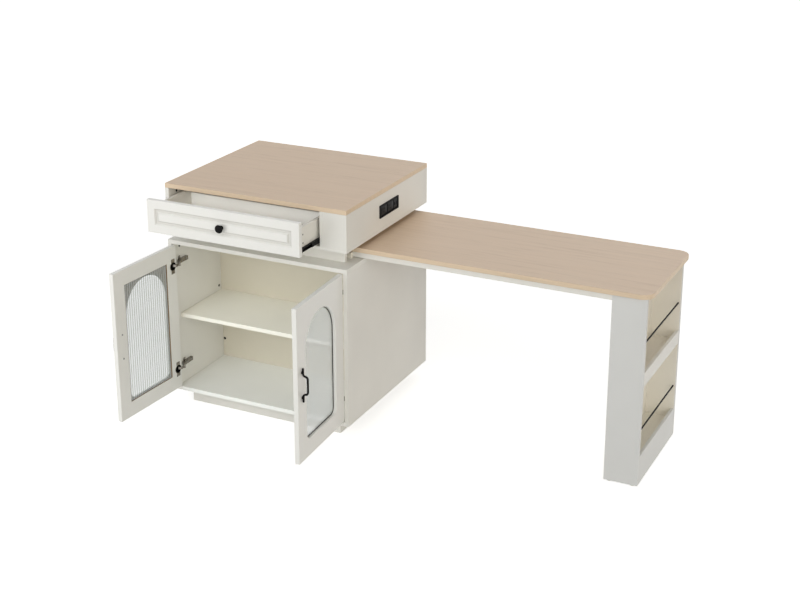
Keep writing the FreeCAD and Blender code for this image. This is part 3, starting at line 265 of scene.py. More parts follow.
def reeded_glass(name, code):
    """Rolled soda-lime glass with upright reeds: slightly green-grey, each reed a small lens that bends
    what is behind it, and a rolled surface that isn't quite clear."""
    tree = new_material(name, code)
    roll = noise(tree, 90, 2, (1, 1, 0.3))
    clear = add(tree, "ShaderNodeBsdfPrincipled",
                {"Base Color": linear(code), "IOR": 1.5, "Transmission Weight": 0.6,
                 "Specular IOR Level": 0.35},
                {"Roughness": spread(tree, roll, 0.05, 0.12), "Normal": bump(tree, roll, 0.1, 0.0003)})
    # Lamps shine through the pane on what is behind it
    rays = add(tree, "ShaderNodeLightPath")
    passed = add(tree, "ShaderNodeBsdfTransparent", {"Color": tinted(code, 1.2)})
    surface = either(tree, rays.outputs["Is Shadow Ray"], clear, passed)
    add(tree, "ShaderNodeOutputMaterial", links={"Surface": surface})


def powder_coat(name, code, rough=0.42):
    """Black polyester powder baked on steel: nearly matt, with the fine orange peel of melted powder."""
    tree = new_material(name, code)
    # Orange peel is about 1.2 mm from crest to crest
    peel = noise(tree, 800, 2)
    wear = noise(tree, 60, 3)
    close(tree, {"Roughness": rough, "IOR": 1.5, "Specular IOR Level": 0.08},
          {"Base Color": mottled(tree, wear, code, 1, 1.5, 0.75), "Normal": bump(tree, peel, 0.2, 0.0002)})


def plated_steel(name, code, rough, grain):
    """Pressed steel under a thin metal plating: bright, with faint drawing lines and cloudy patches
    where the plating is thinner."""
    tree = new_material(name, code)
    lines = noise(tree, grain, 3, (1, 8, 8), 0.6)
    patches = noise(tree, 120, 2)
    close(tree, {"Metallic": 1.0}, {"Base Color": mottled(tree, patches, code, 0.85, 1.1),
                                    "Roughness": spread(tree, patches, rough - 0.05, rough + 0.08),
                                    "Normal": bump(tree, lines, 0.08, 0.0001)})


def moulded_plastic(name, code, rough, gloss=0.5):
    """Injection-moulded plastic from an etched tool: even colour, a fine matt texture and a soft
    highlight along its edges."""
    tree = new_material(name, code)
    etch = noise(tree, 900, 2)
    close(tree, {"Roughness": rough, "IOR": 1.53, "Specular IOR Level": gloss},
          {"Base Color": mottled(tree, etch, code, 0.94, 1.06), "Normal": bump(tree, etch, 0.15, 0.0001)})


def finishes():
    """Make each finish once and hand them out by name."""
    tones = bpy.context.scene.island_colours
    if "oak_laminate" not in bpy.data.materials:
        oak_laminate("oak_laminate", tones.oak, linear(tones.oak_dark))
        oak_laminate("oak_edge_band", tones.oak_edge, tinted(tones.oak_edge, 0.86))
        melamine("white_melamine", tones.white)
        melamine("inner_melamine", tones.inner, 0.46)
        melamine("painted_back", tones.back, 0.5)
        melamine("leg_melamine", tones.leg)
        melamine("recess_melamine", tones.recess, 0.46)
        melamine("drawer_wrap", tones.drawer, 0.44)
        melamine("drawer_lining", tones.lining, 0.5)
        foil_front("foil_wrapped_front", tones.front)
        foil_front("foil_in_groove", tones.groove)
        raw_fibreboard("raw_fibreboard", tones.fibre)
        reeded_glass("reeded_glass", tones.glass)
        reeded_glass("reeded_glass_valley", tones.valley)
        powder_coat("black_powder_coat", tones.black)
        powder_coat("black_slide_coat", tones.slide, 0.4)
        plated_steel("nickel_plated_steel", tones.nickel, 0.26, 300)
        plated_steel("dark_cup_steel", tones.cup, 0.5, 300)
        plated_steel("zinc_plated_steel", tones.zinc, 0.34, 500)
        plated_steel("dark_screw_steel", tones.screw, 0.4, 500)
        moulded_plastic("outlet_polycarbonate", tones.outlet, 0.5, 0.08)
        moulded_plastic("outlet_module_face", tones.module, 0.42, 0.12)
        # Black of the strips that paint the shadow line round the panes
        moulded_plastic("glazing_rubber", tones.seal, 0.6, 0.2)
        moulded_plastic("contact_shade", tones.shade, 0.6, 0.1)
        moulded_plastic("nylon_glide", tones.glide, 0.5)
    return bpy.data.materials


FINISH_OF_SLOT = {
    "wood_laminate": "oak_laminate",
    "white_board": "white_melamine",
    "inner_board": "inner_melamine",
    "lacquered_front": "foil_wrapped_front",
    "drawer_board": "drawer_wrap",
    "reeded_glass": "reeded_glass",
    "black_metal": "black_powder_coat",
    "nickel_steel": "nickel_plated_steel",
    "black_slide_steel": "black_slide_coat",
    "zinc_steel": "zinc_plated_steel",
    "dark_plastic": "outlet_polycarbonate",
    "slide_plastic": "nylon_glide",
}


# Mesh helpers

# Place, in its piece's list, of the darker finish inside a recess: painted shade
RECESS_SHADE = 1


def facing(origin, out):
    """A frame at a point: local Z looks out of the surface and local Y goes up."""
    z_axis = Vector(out).normalized()
    y_axis = Vector((0, 0, 1))
    y_axis = (y_axis - z_axis * y_axis.dot(z_axis)).normalized()
    x_axis = y_axis.cross(z_axis)
    return Matrix.Translation(Vector(origin)) @ Matrix((x_axis, y_axis, z_axis)).transposed().to_4x4()


def ring(mesh, outline, height):
    """One loop of points at a height."""
    return [mesh.verts.new((x, y, height)) for x, y in outline]


def wall(mesh, lower, upper, finish=0):
    """Faces between two loops of the same length."""
    count = len(lower)
    for i in range(count):
        face = mesh.faces.new((lower[i], lower[(i + 1) % count], upper[(i + 1) % count], upper[i]))
        face.material_index = finish


def filled(mesh, loops, finish=0):
    """A flat face inside the first loop and outside the others."""
    edges = []
    for loop in loops:
        for i, vert in enumerate(loop):
            other = loop[(i + 1) % len(loop)]
            edges.append(mesh.edges.get((vert, other)) or mesh.edges.new((vert, other)))
    made = bmesh.ops.triangle_fill(mesh, use_beauty=True, edges=edges, normal=(0, 0, 1))
    for item in made["geom"]:
        if isinstance(item, bmesh.types.BMFace):
            item.material_index = finish


def circle(radius, count=28, middle=(0, 0)):
    """The outline of a circle."""
    return [(middle[0] + radius * math.cos(2 * math.pi * i / count),
             middle[1] + radius * math.sin(2 * math.pi * i / count)) for i in range(count)]


def slab(width, height, corner, inset=0.0, middle=(0, 0)):
    """The outline of a rounded rectangle, drawn in by an inset."""
    steps = 4
    sharpest = 0.05 * MM
    half_w = width / 2 - inset
    half_h = height / 2 - inset
    radius = max(corner - inset, sharpest)
    points = []
    for turn, (sx, sy) in enumerate(((1, 1), (-1, 1), (-1, -1), (1, -1))):
        for i in range(steps + 1):
            angle = math.radians(90 * turn + 90 * i / steps)
            points.append((middle[0] + sx * (half_w - radius) + radius * math.cos(angle),
                           middle[1] + sy * (half_h - radius) + radius * math.sin(angle)))
    return points


def cross(reach, arm, turn):
    """The outline of a cross recess."""
    corners = [(reach, -arm), (reach, arm), (arm, arm), (arm, reach), (-arm, reach), (-arm, arm),
               (-reach, arm), (-reach, -arm), (-arm, -arm), (-arm, -reach), (arm, -reach), (arm, -arm)]
    c, s = math.cos(turn), math.sin(turn)
    return [(x * c - y * s, x * s + y * c) for x, y in corners]


def stamped(mesh, where, rings, holes, depth):
    """A solid of stacked outlines with openings in its top. Each hole is an outline and the share it
    shrinks to at its floor."""
    part = bmesh.new()
    levels = [ring(part, outline, height) for outline, height in rings]
    filled(part, [levels[0]])
    for lower, upper in zip(levels, levels[1:]):
        wall(part, lower, upper)
    top = rings[-1][1]
    mouths = [ring(part, outline, top) for outline, share in holes]
    filled(part, [levels[-1]] + mouths)
    for mouth, (outline, share) in zip(mouths, holes):
        middle = Vector((sum(x for x, y in outline), sum(y for x, y in outline))) / len(outline)
        floor = ring(part, [(middle.x + (x - middle.x) * share, middle.y + (y - middle.y) * share)
                            for x, y in outline], top - depth)
        # A hole's walls and floor take the darker finish: painted shade
        wall(part, mouth, floor, RECESS_SHADE)
        filled(part, [floor], RECESS_SHADE)
    bmesh.ops.recalc_face_normals(part, faces=part.faces)
    poured(mesh, part, where)


def poured(mesh, part, where):
    """Add one shape to a mesh, in its place."""
    bmesh.ops.transform(part, matrix=where, verts=part.verts)
    spare = bpy.data.meshes.new("spare")
    part.to_mesh(spare)
    part.free()
    mesh.from_mesh(spare)
    bpy.data.meshes.remove(spare)


# Section of a pan head, as shares of its radius and of its height
PAN_SECTION = ((0.97, 0), (1, 0.2), (0.96, 0.6), (0.82, 0.88), (0.6, 1))


def screw(mesh, where, radius, height, turn):
    """A pan-head screw with a cross recess."""
    rings = [(circle(radius * share, 24), height * rise) for share, rise in PAN_SECTION]
    stamped(mesh, where, rings, [(cross(radius * 0.48, radius * 0.11, turn), 0.55)], height * 0.7)


def shown(name, mesh, body, materials, hard=38):
    """Turn a mesh into a piece: smooth but for its sharp edges, with its finish, riding on a body."""
    for face in mesh.faces:
        face.smooth = True
    limit = math.radians(hard)
    for edge in mesh.edges:
        if len(edge.link_faces) == 2 and edge.calc_face_angle(0) > limit:
            edge.smooth = False
    data = bpy.data.meshes.new(name)
    mesh.to_mesh(data)
    mesh.free()
    piece = bpy.data.objects.new(name, data)
    bpy.context.scene.collection.objects.link(piece)
    for material in materials:
        data.materials.append(finishes()[material])
    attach(piece, body)
    return piece


# Door leaves

class Leaf:
    """A door leaf at rest: its pivot, the way along it, and the way out of its outer face."""

    def __init__(self, side):
        joint = JOINTS[side + "_door_hinge"]
        sign = -1 if side == "left" else 1
        angle = math.radians(-joint["range_deg"][0])
        self.side = side
        self.sign = sign
        self.body = joint["child"]
        self.pivot = Vector((joint["pos_m"][0], joint["pos_m"][1], 0))
        self.along = Vector((-sign * math.cos(angle), -math.sin(angle), 0))
        self.out = Vector((sign * math.sin(angle), -math.cos(angle), 0))

    def spot(self, along, depth, level):
        """A point at a distance along the leaf, a depth behind its outer face, and a height."""
        return self.pivot + self.along * along - self.out * depth + Vector((0, 0, level))

    def read(self, point):
        """The distance along the leaf and the depth of a point."""
        flat = Vector((point.x, point.y, 0)) - self.pivot
        return flat.dot(self.along), -flat.dot(self.out)


LEAVES = [Leaf("left"), Leaf("right")]

# Half the height of a hinge cup's flange
FLANGE_REACH = 30 * MM


def hinge_levels(leaf):
    """Heights of a leaf's hinges, from the two cups."""
    low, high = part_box(leaf.side + "_hinge_cups")
    return low.z + FLANGE_REACH, high.z - FLANGE_REACH


# Boards, fronts and metal that keep their modelled shape

EDGE_BAND_RISE = 0.6         # a face that looks up less than this belongs to the edge band
LEG_RIM = 5 * MM             # the outer faces of the leg's side boards lie within this
REBATE_SLACK = 0.5 * MM      # between a face's middle and the rebate's side
FLOOR_SLACK = 0.2 * MM       # between a face's middle and the rebate's floor
WALL_SLACK = 0.1 * MM        # between a wall's middle and the rebate's floor

# Nodes that don't have the finish of their slot
OWN_FINISH = {
    # The back's white is darker than the shelves': painted shade deep in the cupboard
    "cupboard_back": "painted_back",
    # The recess's boards take a lighter white: painted light in the leg's recess
    "leg_inner_panel": "recess_melamine",
    "leg_shelves": "recess_melamine",
    "leg_toe_board": "leg_melamine",
}


def dressed(node, finish, extra=()):
    """Give a carried-over node its finish, and let its rounded edges shade smoothly."""
    piece = NODES[node]
    piece.data.materials.clear()
    for name in (finish, *extra):
        piece.data.materials.append(finishes()[name])
    for polygon in piece.data.polygons:
        polygon.use_smooth = True
        polygon.material_index = 0
    return piece


class ISLAND_OT_finish_boards(bpy.types.Operator):
    """Give every node of the model the finish of its material slot"""
    bl_idname = "island.finish_boards"
    bl_label = "Finish the boards and metal"

    def execute(self, context):
        for node, slot in SLOT_OF.items():
            dressed(node, OWN_FINISH.get(node, FINISH_OF_SLOT[slot]))
        # The leg's side boards face their recess with the same lighter white as its shelves: painted light in the
        # recess, on boards that are darker outside
        piece = dressed("leg_side_panels", "leg_melamine", ("recess_melamine",))
        low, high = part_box("leg_side_panels")
        for polygon in piece.data.polygons:
            inside = low.y + LEG_RIM < polygon.center.y < high.y - LEG_RIM
            if inside and abs(polygon.normal.y) > 0.9:
                polygon.material_index = 1
        return {"FINISHED"}


class ISLAND_OT_wood_tops(bpy.types.Operator):
    """Lay the oak print on the two tops, with a lighter tone round their edges that paints the light on their
    sides
    """
    bl_idname = "island.wood_tops"
    bl_label = "Finish the wood tops"

    def execute(self, context):
        for node in ("island_top", "table_top"):
            piece = dressed(node, "oak_laminate", ("oak_edge_band",))
            # The sides take the lighter oak: painted light
            for polygon in piece.data.polygons:
                if abs(polygon.normal.z) < EDGE_BAND_RISE:
                    polygon.material_index = 1
        return {"FINISHED"}


class ISLAND_OT_door_frames(bpy.types.Operator):
    """Wrap the door leaves in foil and leave the glass rebate bare"""
    bl_idname = "island.door_frames"
    bl_label = "Finish the door frames"

    def execute(self, context):
        sizes = context.scene.island_sizes
        floor = sizes.leaf_thickness - sizes.rebate_depth
        near = sizes.leaf_stile - sizes.rebate_margin - REBATE_SLACK
        for leaf in LEAVES:
            piece = dressed(leaf.side + "_door_frame", "foil_wrapped_front", ("raw_fibreboard",))
            bare = 0
            for polygon in piece.data.polygons:
                along, depth = leaf.read(polygon.center)
                turned_in = polygon.normal.dot(-leaf.out)
                inside = near < along < sizes.leaf_width - near
                on_floor = turned_in > 0.95 and abs(depth - floor) < FLOOR_SLACK
                on_wall = abs(turned_in) < 0.1 and depth > floor - WALL_SLACK
                if inside and (on_floor or on_wall):
                    polygon.material_index = 1
                    bare += 1
            if bare == 0:
                raise RuntimeError("the %s door's rebate wasn't found" % leaf.side)
        return {"FINISHED"}


# Reeded panes, and black strips round them that paint the shadow line at the glass's edge

PANE_END = 0.3 * MM          # a pane's ends within the solid's
PANE_SIDE = 1.3 * MM         # a pane's side to the rebate's
PANE_LIFT = 0.1 * MM         # a pane off the rebate's floor
PANE_THICKNESS = 3.7 * MM    # outer face to a reed's crest
REED_STEPS = 6               # flats across one reed
REED_FULLNESS = 0.75         # below 1, a reed is fuller than a sine wave
PANE_HARD_EDGE = 50          # degrees
WINDOW_CORNER = 25 * MM      # lower corners of the window
ARCH_STEPS, CORNER_STEPS = 40, 8
SHADOW_STRIP_FOOT = 0.05 * MM        # a strip's foot past the rebate's floor, just short of the pane
# Section of a strip: millimetres in from the window's edge, and out of the pane's face
SHADOW_STRIP_SECTION = ((0.1, 0), (0.1, 2.2), (1.4, 2.2), (2.6, 0.9), (2.6, 0))


def reeded_pane(leaf, sizes):
    """A pane with a flat outer face and round upright reeds on its inner face, and painted shade on the flats
    beside each valley.
    """
    low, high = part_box(leaf.side + "_door_glass")
    start = sizes.leaf_stile - sizes.rebate_margin + PANE_SIDE
    end = sizes.leaf_width - start
    bottom, top = low.z + PANE_END, high.z - PANE_END
    outer = sizes.leaf_thickness - sizes.rebate_depth + PANE_LIFT
    crest = outer + PANE_THICKNESS
    count = round((end - start) / sizes.reed_pitch)
    mesh = bmesh.new()
    columns = []
    for i in range(count * REED_STEPS + 1):
        along = start + (end - start) * i / (count * REED_STEPS)
        phase = (i % REED_STEPS) / REED_STEPS
        rise = abs(math.sin(math.pi * phase)) ** REED_FULLNESS
        depth = crest - sizes.reed_height * (1 - rise)
        columns.append([mesh.verts.new(leaf.spot(along, way, level))
                        for way, level in ((outer, bottom), (outer, top), (depth, top), (depth, bottom))])
    for number, (left, right) in enumerate(zip(columns, columns[1:])):
        # The flats beside each valley take the darker glass: painted shade where the reeds bend light away
        valley = number % REED_STEPS in (0, REED_STEPS - 1)
        for i in range(4):
            face = mesh.faces.new((left[i], left[(i + 1) % 4], right[(i + 1) % 4], right[i]))
            face.material_index = 1 if i == 2 and valley else 0
    mesh.faces.new(columns[0])
    mesh.faces.new(columns[-1])
    bmesh.ops.recalc_face_normals(mesh, faces=mesh.faces)
    piece = shown(leaf.side + "_reeded_pane", mesh, leaf.body,
                  ["reeded_glass", "reeded_glass_valley"], PANE_HARD_EDGE)
    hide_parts(leaf.side + "_door_glass")


def window_outline(leaf, sizes, inset):
    """The arched window drawn in by an inset, as distances along the leaf and heights."""
    low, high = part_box(leaf.side + "_door_frame")
    middle = sizes.leaf_width / 2
    arch = middle - sizes.leaf_stile
    centre = high.z - sizes.leaf_stile - arch
    bottom = low.z + sizes.leaf_stile
    corner = WINDOW_CORNER
    points = []
    for x, z, radius, start, turn, steps in (
            (middle, centre, arch, 0, 180, ARCH_STEPS),
            (middle - arch + corner, bottom + corner, corner, 180, 90, CORNER_STEPS),
            (middle + arch - corner, bottom + corner, corner, 270, 90, CORNER_STEPS)):
        for i in range(steps + 1):
            angle = math.radians(start + turn * i / steps)
            points.append((x + (radius - inset) * math.cos(angle), z + (radius - inset) * math.sin(angle)))
    return points


def painted_shadow_strip(leaf, sizes):
    """A black strip in front of the pane's outer face, round the window, that paints the dark shadow line between
    the glass and the frame.
    """
    face = sizes.leaf_thickness - sizes.rebate_depth + SHADOW_STRIP_FOOT
    mesh = bmesh.new()
    loops = []
    for inset, rise in SHADOW_STRIP_SECTION:
        loops.append([mesh.verts.new(leaf.spot(along, face - rise * MM, level))
                      for along, level in window_outline(leaf, sizes, inset * MM)])
    for lower, upper in zip(loops, loops[1:] + loops[:1]):
        wall(mesh, lower, upper)
    bmesh.ops.recalc_face_normals(mesh, faces=mesh.faces)
    shown(leaf.side + "_glazing_seal", mesh, leaf.body, ["glazing_rubber"])


class ISLAND_OT_reeded_panes(bpy.types.Operator):
    """Set a pane of reeded glass in each door, with a black strip round it that paints the shadow line at its edge
    """
    bl_idname = "island.reeded_panes"
    bl_label = "Set the reeded panes"

    def execute(self, context):
        for leaf in LEAVES:
            reeded_pane(leaf, context.scene.island_sizes)
            painted_shadow_strip(leaf, context.scene.island_sizes)
        return {"FINISHED"}


# Screws and cam locks

# Radius and height of a screw's head
ARM_SCREW = (3.7 * MM, 0.9 * MM)
FLANGE_SCREW = (3.4 * MM, 0.8 * MM)
HANDLE_SCREW = (4 * MM, 1.9 * MM)
DRAWER_SCREW = (3 * MM, 0.8 * MM)
SLIDE_SCREW = (3.4 * MM, 1.3 * MM)

PLATE_SCREW_HEIGHT = 1.4 * MM
PLATE_SCREW_REACH = 14 * MM       # above and below a hinge's middle
FLANGE_SCREW_REACH = 24 * MM      # above and below a hinge's middle
CUP_INSET = 22 * MM               # a cup's centre from the leaf's edge
CUP_UNSHADED = 0.4 * MM              # how far into the leaf a cup stays bright
FLANGE = 1 * MM                   # thickness of a cup's flange
ARM_FACE = 9 * MM                 # an arm's face inside the pivot
# Distance behind the pivot, and how far the cross is turned
ARM_SCREW_PLACES = ((54 * MM, 0.2), (80 * MM, 0.7))

CAM_BELOW_TOP = 24 * MM           # front cam locks below the sides' top
CAM_BEFORE_BACK = 16 * MM         # rear cam locks before the cupboard's back
CAM_ABOVE_SHELF = 20 * MM         # rear cam locks above the shelf
CAM_FROM_SIDE = 8 * MM            # cam locks on the cupboard's back, from the sides
CAM_CROSS_DEPTH = 0.75 * MM
# Section of a cam lock: share of the radius, and millimetres out of the board
CAM_SECTION = ((0.98, 0), (1, 0.4), (0.97, 0.8), (0.88, 0.9))


class ISLAND_OT_hinge_screws(bpy.types.Operator):
    """Drive cross-head screws through the hinge plates, the cup flanges and the arms"""
    bl_idname = "island.hinge_screws"
    bl_label = "Drive the hinge screws"

    def execute(self, context):
        sizes = context.scene.island_sizes
        low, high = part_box("hinge_plate_screws")
        deep = (low.y + high.y) / 2
        plates = bmesh.new()
        arms = bmesh.new()
        for leaf in LEAVES:
            inward = Vector((-leaf.sign, 0, 0))
            face = low.x if leaf.sign < 0 else high.x
            arm_face = leaf.pivot.x - leaf.sign * ARM_FACE
            cups = bmesh.new()
            for number, level in enumerate(hinge_levels(leaf)):
                for back, turn in ARM_SCREW_PLACES:
                    screw(arms, facing((arm_face, leaf.pivot.y + back, level), inward), *ARM_SCREW, turn)
                for way in (-1, 1):
                    where = facing((face, deep, level + way * PLATE_SCREW_REACH), inward)
                    screw(plates, where, sizes.plate_screw, PLATE_SCREW_HEIGHT, 0.3 + number + way * 0.4)
                    where = facing(leaf.spot(CUP_INSET, sizes.leaf_thickness + FLANGE,
                                             level + way * FLANGE_SCREW_REACH), -leaf.out)
                    screw(cups, where, *FLANGE_SCREW, 0.5 + way)
            # The flange screws' crosses take the cup's dark steel: painted shade
            shown(leaf.side + "_flange_screws", cups, leaf.body,
                  ["nickel_plated_steel", "dark_cup_steel"])
        # The zinc screws' crosses take dark steel: painted shade in the recess
        piece = shown("plate_screw_heads", plates, "cabinet",
                      ["zinc_plated_steel", "dark_screw_steel"])
        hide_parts("hinge_plate_screws")
        shown("arm_screw_heads", arms, "cabinet", ["zinc_plated_steel", "dark_screw_steel"])
        return {"FINISHED"}


class ISLAND_OT_hinge_cups(bpy.types.Operator):
    """Paint shade inside the pressed hinge cups with a darker steel"""
    bl_idname = "island.hinge_cups"
    bl_label = "Finish the hinge cups"

    def execute(self, context):
        mouth = context.scene.island_sizes.leaf_thickness - CUP_UNSHADED
        for leaf in LEAVES:
            piece = dressed(leaf.side + "_hinge_cups", "nickel_plated_steel", ("dark_cup_steel",))
            for polygon in piece.data.polygons:
                depth = leaf.read(polygon.center)[1]
                # Faces deeper than the cup's mouth take the dark steel: painted shade
                if depth < mouth:
                    polygon.material_index = 1
        return {"FINISHED"}


class ISLAND_OT_handle_screws(bpy.types.Operator):
    """Fit the screws that hold the bow handles, inside the doors"""
    bl_idname = "island.handle_screws"
    bl_label = "Fit the handle screws"

    def execute(self, context):
        sizes = context.scene.island_sizes
        radius = HANDLE_SCREW[0]
        for leaf in LEAVES:
            low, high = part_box(leaf.side + "_handle_screws")
            along = leaf.read((low + high) / 2)[0]
            mesh = bmesh.new()
            for level, turn in ((low.z + radius, 0.2), (high.z - radius, 0.9)):
                where = facing(leaf.spot(along, sizes.leaf_thickness, level), -leaf.out)
                screw(mesh, where, *HANDLE_SCREW, turn)
            # The crosses take dark steel: painted shade in the recess
            piece = shown(leaf.side + "_handle_screw_heads", mesh, leaf.body,
                          ["zinc_plated_steel", "dark_screw_steel"])
            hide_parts(leaf.side + "_handle_screws")
        return {"FINISHED"}


class ISLAND_OT_cam_locks(bpy.types.Operator):
    """Sink the cam locks of the knock-down joints into the boards"""
    bl_idname = "island.cam_locks"
    bl_label = "Fit the cam locks"

    def execute(self, context):
        radius = context.scene.island_sizes.cam_radius
        low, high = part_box("cam_caps")
        side_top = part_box("cabinet_left_side")[1]
        shelf_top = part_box("cupboard_shelf")[1]
        inner = side_top.x
        spots = [(inner, low.y + radius, high.z - radius, (1, 0, 0))]
        for way in (1, -1):
            spots.append((way * inner, low.y + radius, side_top.z - CAM_BELOW_TOP, (way, 0, 0)))
            spots.append((way * inner, high.y - CAM_BEFORE_BACK, shelf_top.z + CAM_ABOVE_SHELF,
                          (way, 0, 0)))
            spots.append((way * (inner + CAM_FROM_SIDE), high.y, low.z + radius, (0, -1, 0)))
        rings = [(circle(radius * share, 32), rise * MM) for share, rise in CAM_SECTION]
        mesh = bmesh.new()
        for number, (x, y, z, out) in enumerate(spots):
            recess = cross(radius * 0.5, radius * 0.13, number * 0.5)
            stamped(mesh, facing((x, y, z), out), rings, [(recess, 0.7)], CAM_CROSS_DEPTH)
        piece = shown("cam_locks", mesh, "cabinet", ["dark_screw_steel", "contact_shade"])
        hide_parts("cam_caps")
        return {"FINISHED"}


# Drawer

# The groove's floor and its flanks that don't look up take painted shade
GROOVE_EDGE = 20 * MM                          # the groove keeps this far from the front's edges
GROOVE_FACE, GROOVE_FLOOR = 0.5 * MM, 7 * MM   # its faces lie between these depths
GROOVE_UNSHADED_RISE = 0.3                              # a flank that looks up more than this stays white
SLIDE_RAIL_FACE = 1.2 * MM                     # a rail's face outside the drawer's side
SLIDE_SCREW_PLACES = (22, 120, 218)            # millimetres behind the rail's front end


class ISLAND_OT_drawer_fittings(bpy.types.Operator):
    """Line the drawer with a lighter paper that paints light on its back and bottom, paint shade into its front's
    groove, and drive the screws of its sides and its slides
    """
    bl_idname = "island.drawer_fittings"
    bl_label = "Line the drawer and fit its screws"

    def execute(self, context):
        # The back and bottom take a lighter paper than the sides: painted light falling into the open drawer
        for node in ("drawer_back", "drawer_bottom"):
            dressed(node, "drawer_lining")
        piece = dressed("drawer_front", "foil_wrapped_front", ("foil_in_groove",))
        low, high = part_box("drawer_front")
        # The groove's floor and the flanks that don't look up take the darker foil: painted shade
        for polygon in piece.data.polygons:
            sunk = low.y + GROOVE_FACE < polygon.center.y < low.y + GROOVE_FLOOR
            within = low.x + GROOVE_EDGE < polygon.center.x < high.x - GROOVE_EDGE
            between = low.z + GROOVE_EDGE < polygon.center.z < high.z - GROOVE_EDGE
            if sunk and within and between and polygon.normal.z < GROOVE_UNSHADED_RISE:
                polygon.material_index = 1
        low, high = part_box("drawer_screws")
        deep = (low.y + high.y) / 2
        radius = DRAWER_SCREW[0]
        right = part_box("drawer_right_side")[1].x
        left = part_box("drawer_left_side")[0].x
        mesh = bmesh.new()
        for x, way in ((right, 1), (left, -1)):
            for level in (low.z + radius, high.z - radius):
                screw(mesh, facing((x, deep, level), (way, 0, 0)), *DRAWER_SCREW, 0.4 * way)
        piece = shown("drawer_screw_heads", mesh, "drawer",
                      ["dark_screw_steel", "contact_shade"])
        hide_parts("drawer_screws")
        low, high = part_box("slide_drawer_rails")
        level = (low.z + high.z) / 2
        mesh = bmesh.new()
        for x, way in ((right + SLIDE_RAIL_FACE, 1), (left - SLIDE_RAIL_FACE, -1)):
            for back in SLIDE_SCREW_PLACES:
                where = facing((x, low.y + back * MM, level), (way, 0, 0))
                screw(mesh, where, *SLIDE_SCREW, 0.2 + back)
        shown("slide_screw_heads", mesh, "drawer",
              ["dark_screw_steel", "contact_shade"])
        return {"FINISHED"}


# Outlet in the side of the box

PORT_MODULE = 32 * MM       # width of the module with the charging ports
MODULE_GAP = 3 * MM         # between two modules
MODULE_CORNER = 2 * MM
HOLE_DEPTH = 8.5 * MM
# Width, height and corner of an opening
SOCKET_SLOT = (2.4 * MM, 8 * MM, 0.5 * MM)
PORT_MOUTH = (5.5 * MM, 13 * MM, 0.6 * MM)
PORT_TONGUE = (1.6 * MM, 10 * MM, 0.3 * MM)
# How far a slot, a pin hole and a port lie from the middle of their module
SLOT_ASIDE, SLOT_ABOVE = 6.35 * MM, 5 * MM
PIN_RADIUS, PIN_BELOW = 2.5 * MM, 6 * MM
PORT_ASIDE = 7 * MM
TONGUE_LENGTH = 7 * MM


def socket_holes():
    """A socket's two flat slots and its round hole, each a little narrower at its floor."""
    slots = [(slab(*SOCKET_SLOT, middle=(way * SLOT_ASIDE, SLOT_ABOVE)), 0.9) for way in (-1, 1)]
    return slots + [(circle(PIN_RADIUS, 20, (0, -PIN_BELOW)), 0.9)]


def port_holes():
    """The mouths of two charging ports, each a little narrower at its floor."""
    return [(slab(*PORT_MOUTH, middle=(way * PORT_ASIDE, 0)), 0.92) for way in (-1, 1)]


class ISLAND_OT_outlet(bpy.types.Operator):
    """Fill the outlet with two socket modules and one with two charging ports"""
    bl_idname = "island.outlet"
    bl_label = "Fit the outlet's modules"

    def execute(self, context):
        low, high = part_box("outlet_inserts")
        height = high.z - low.z
        level = (low.z + high.z) / 2
        deep = high.x - low.x
        wide = (high.y - low.y - PORT_MODULE - 2 * MODULE_GAP) / 2
        mesh = bmesh.new()
        for start, width, holes in ((low.y, wide, socket_holes()),
                                    (low.y + wide + MODULE_GAP, wide, socket_holes()),
                                    (high.y - PORT_MODULE, PORT_MODULE, port_holes())):
            # The front edge is softened
            section = ((0, 0), (0, deep - 1 * MM), (0.3 * MM, deep - 0.3 * MM), (1 * MM, deep))
            rings = [(slab(width, height, MODULE_CORNER, inset), rise) for inset, rise in section]
            stamped(mesh, facing((low.x, start + width / 2, level), (1, 0, 0)), rings, holes, HOLE_DEPTH)
        tongue = slab(*PORT_TONGUE)
        for way in (-1, 1):
            middle = high.y - PORT_MODULE + PORT_MODULE / 2 + way * PORT_ASIDE
            where = facing((high.x - HOLE_DEPTH, middle, level), (1, 0, 0))
            stamped(mesh, where, [(tongue, 0), (tongue, TONGUE_LENGTH)], [], 0)
        piece = shown("outlet_modules", mesh, "cabinet",
                      ["outlet_module_face", "contact_shade"])
        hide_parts("outlet_inserts")
        return {"FINISHED"}


# Floor, light and camera

FLOOR_REACH = 40            # metres from the middle
FLOOR_DROP = 0.5 * MM       # below the object's feet
FLOOR_GLOW = 0.62           # lifts the floor to white where it is looked at
WORLD_LIGHT = 0.2

# Name, azimuth, elevation, strength and colour
SUNS = (
    ("front", 0, 35, 0.62, "#FFFFFF"),
    ("front_right", 45, 12, 1.05, "#FFFBF4"),
    ("right", 90, 10, 0.35, "#FFEEDA"),
    ("left", -90, 35, 0.15, "#FFFFFF"),
    ("back", 180, 45, 0.78, "#FFFFFF"),
)
# Reflectors that open up two dark insides: name, elevation, strength, colour, width and boards
FILLS = (
    ("drawer_fill", 22, 1.0, "#F2F8FF", 12,
     ("drawer_back", "drawer_bottom", "drawer_left_side", "drawer_right_side")),
    ("cupboard_fill", 33, 1.12, "#EAF7FF", 30, ("cupboard_shelf", "cabinet_floor")),
)
SOFTBOX_SIZE = (1.6, 1.2)
SOFTBOX_PLACE = (-1.0, -2.3, 1.05)
SOFTBOX_AIM = (0.1, 0, 0.5)
SOFTBOX_WATTS = 14.2

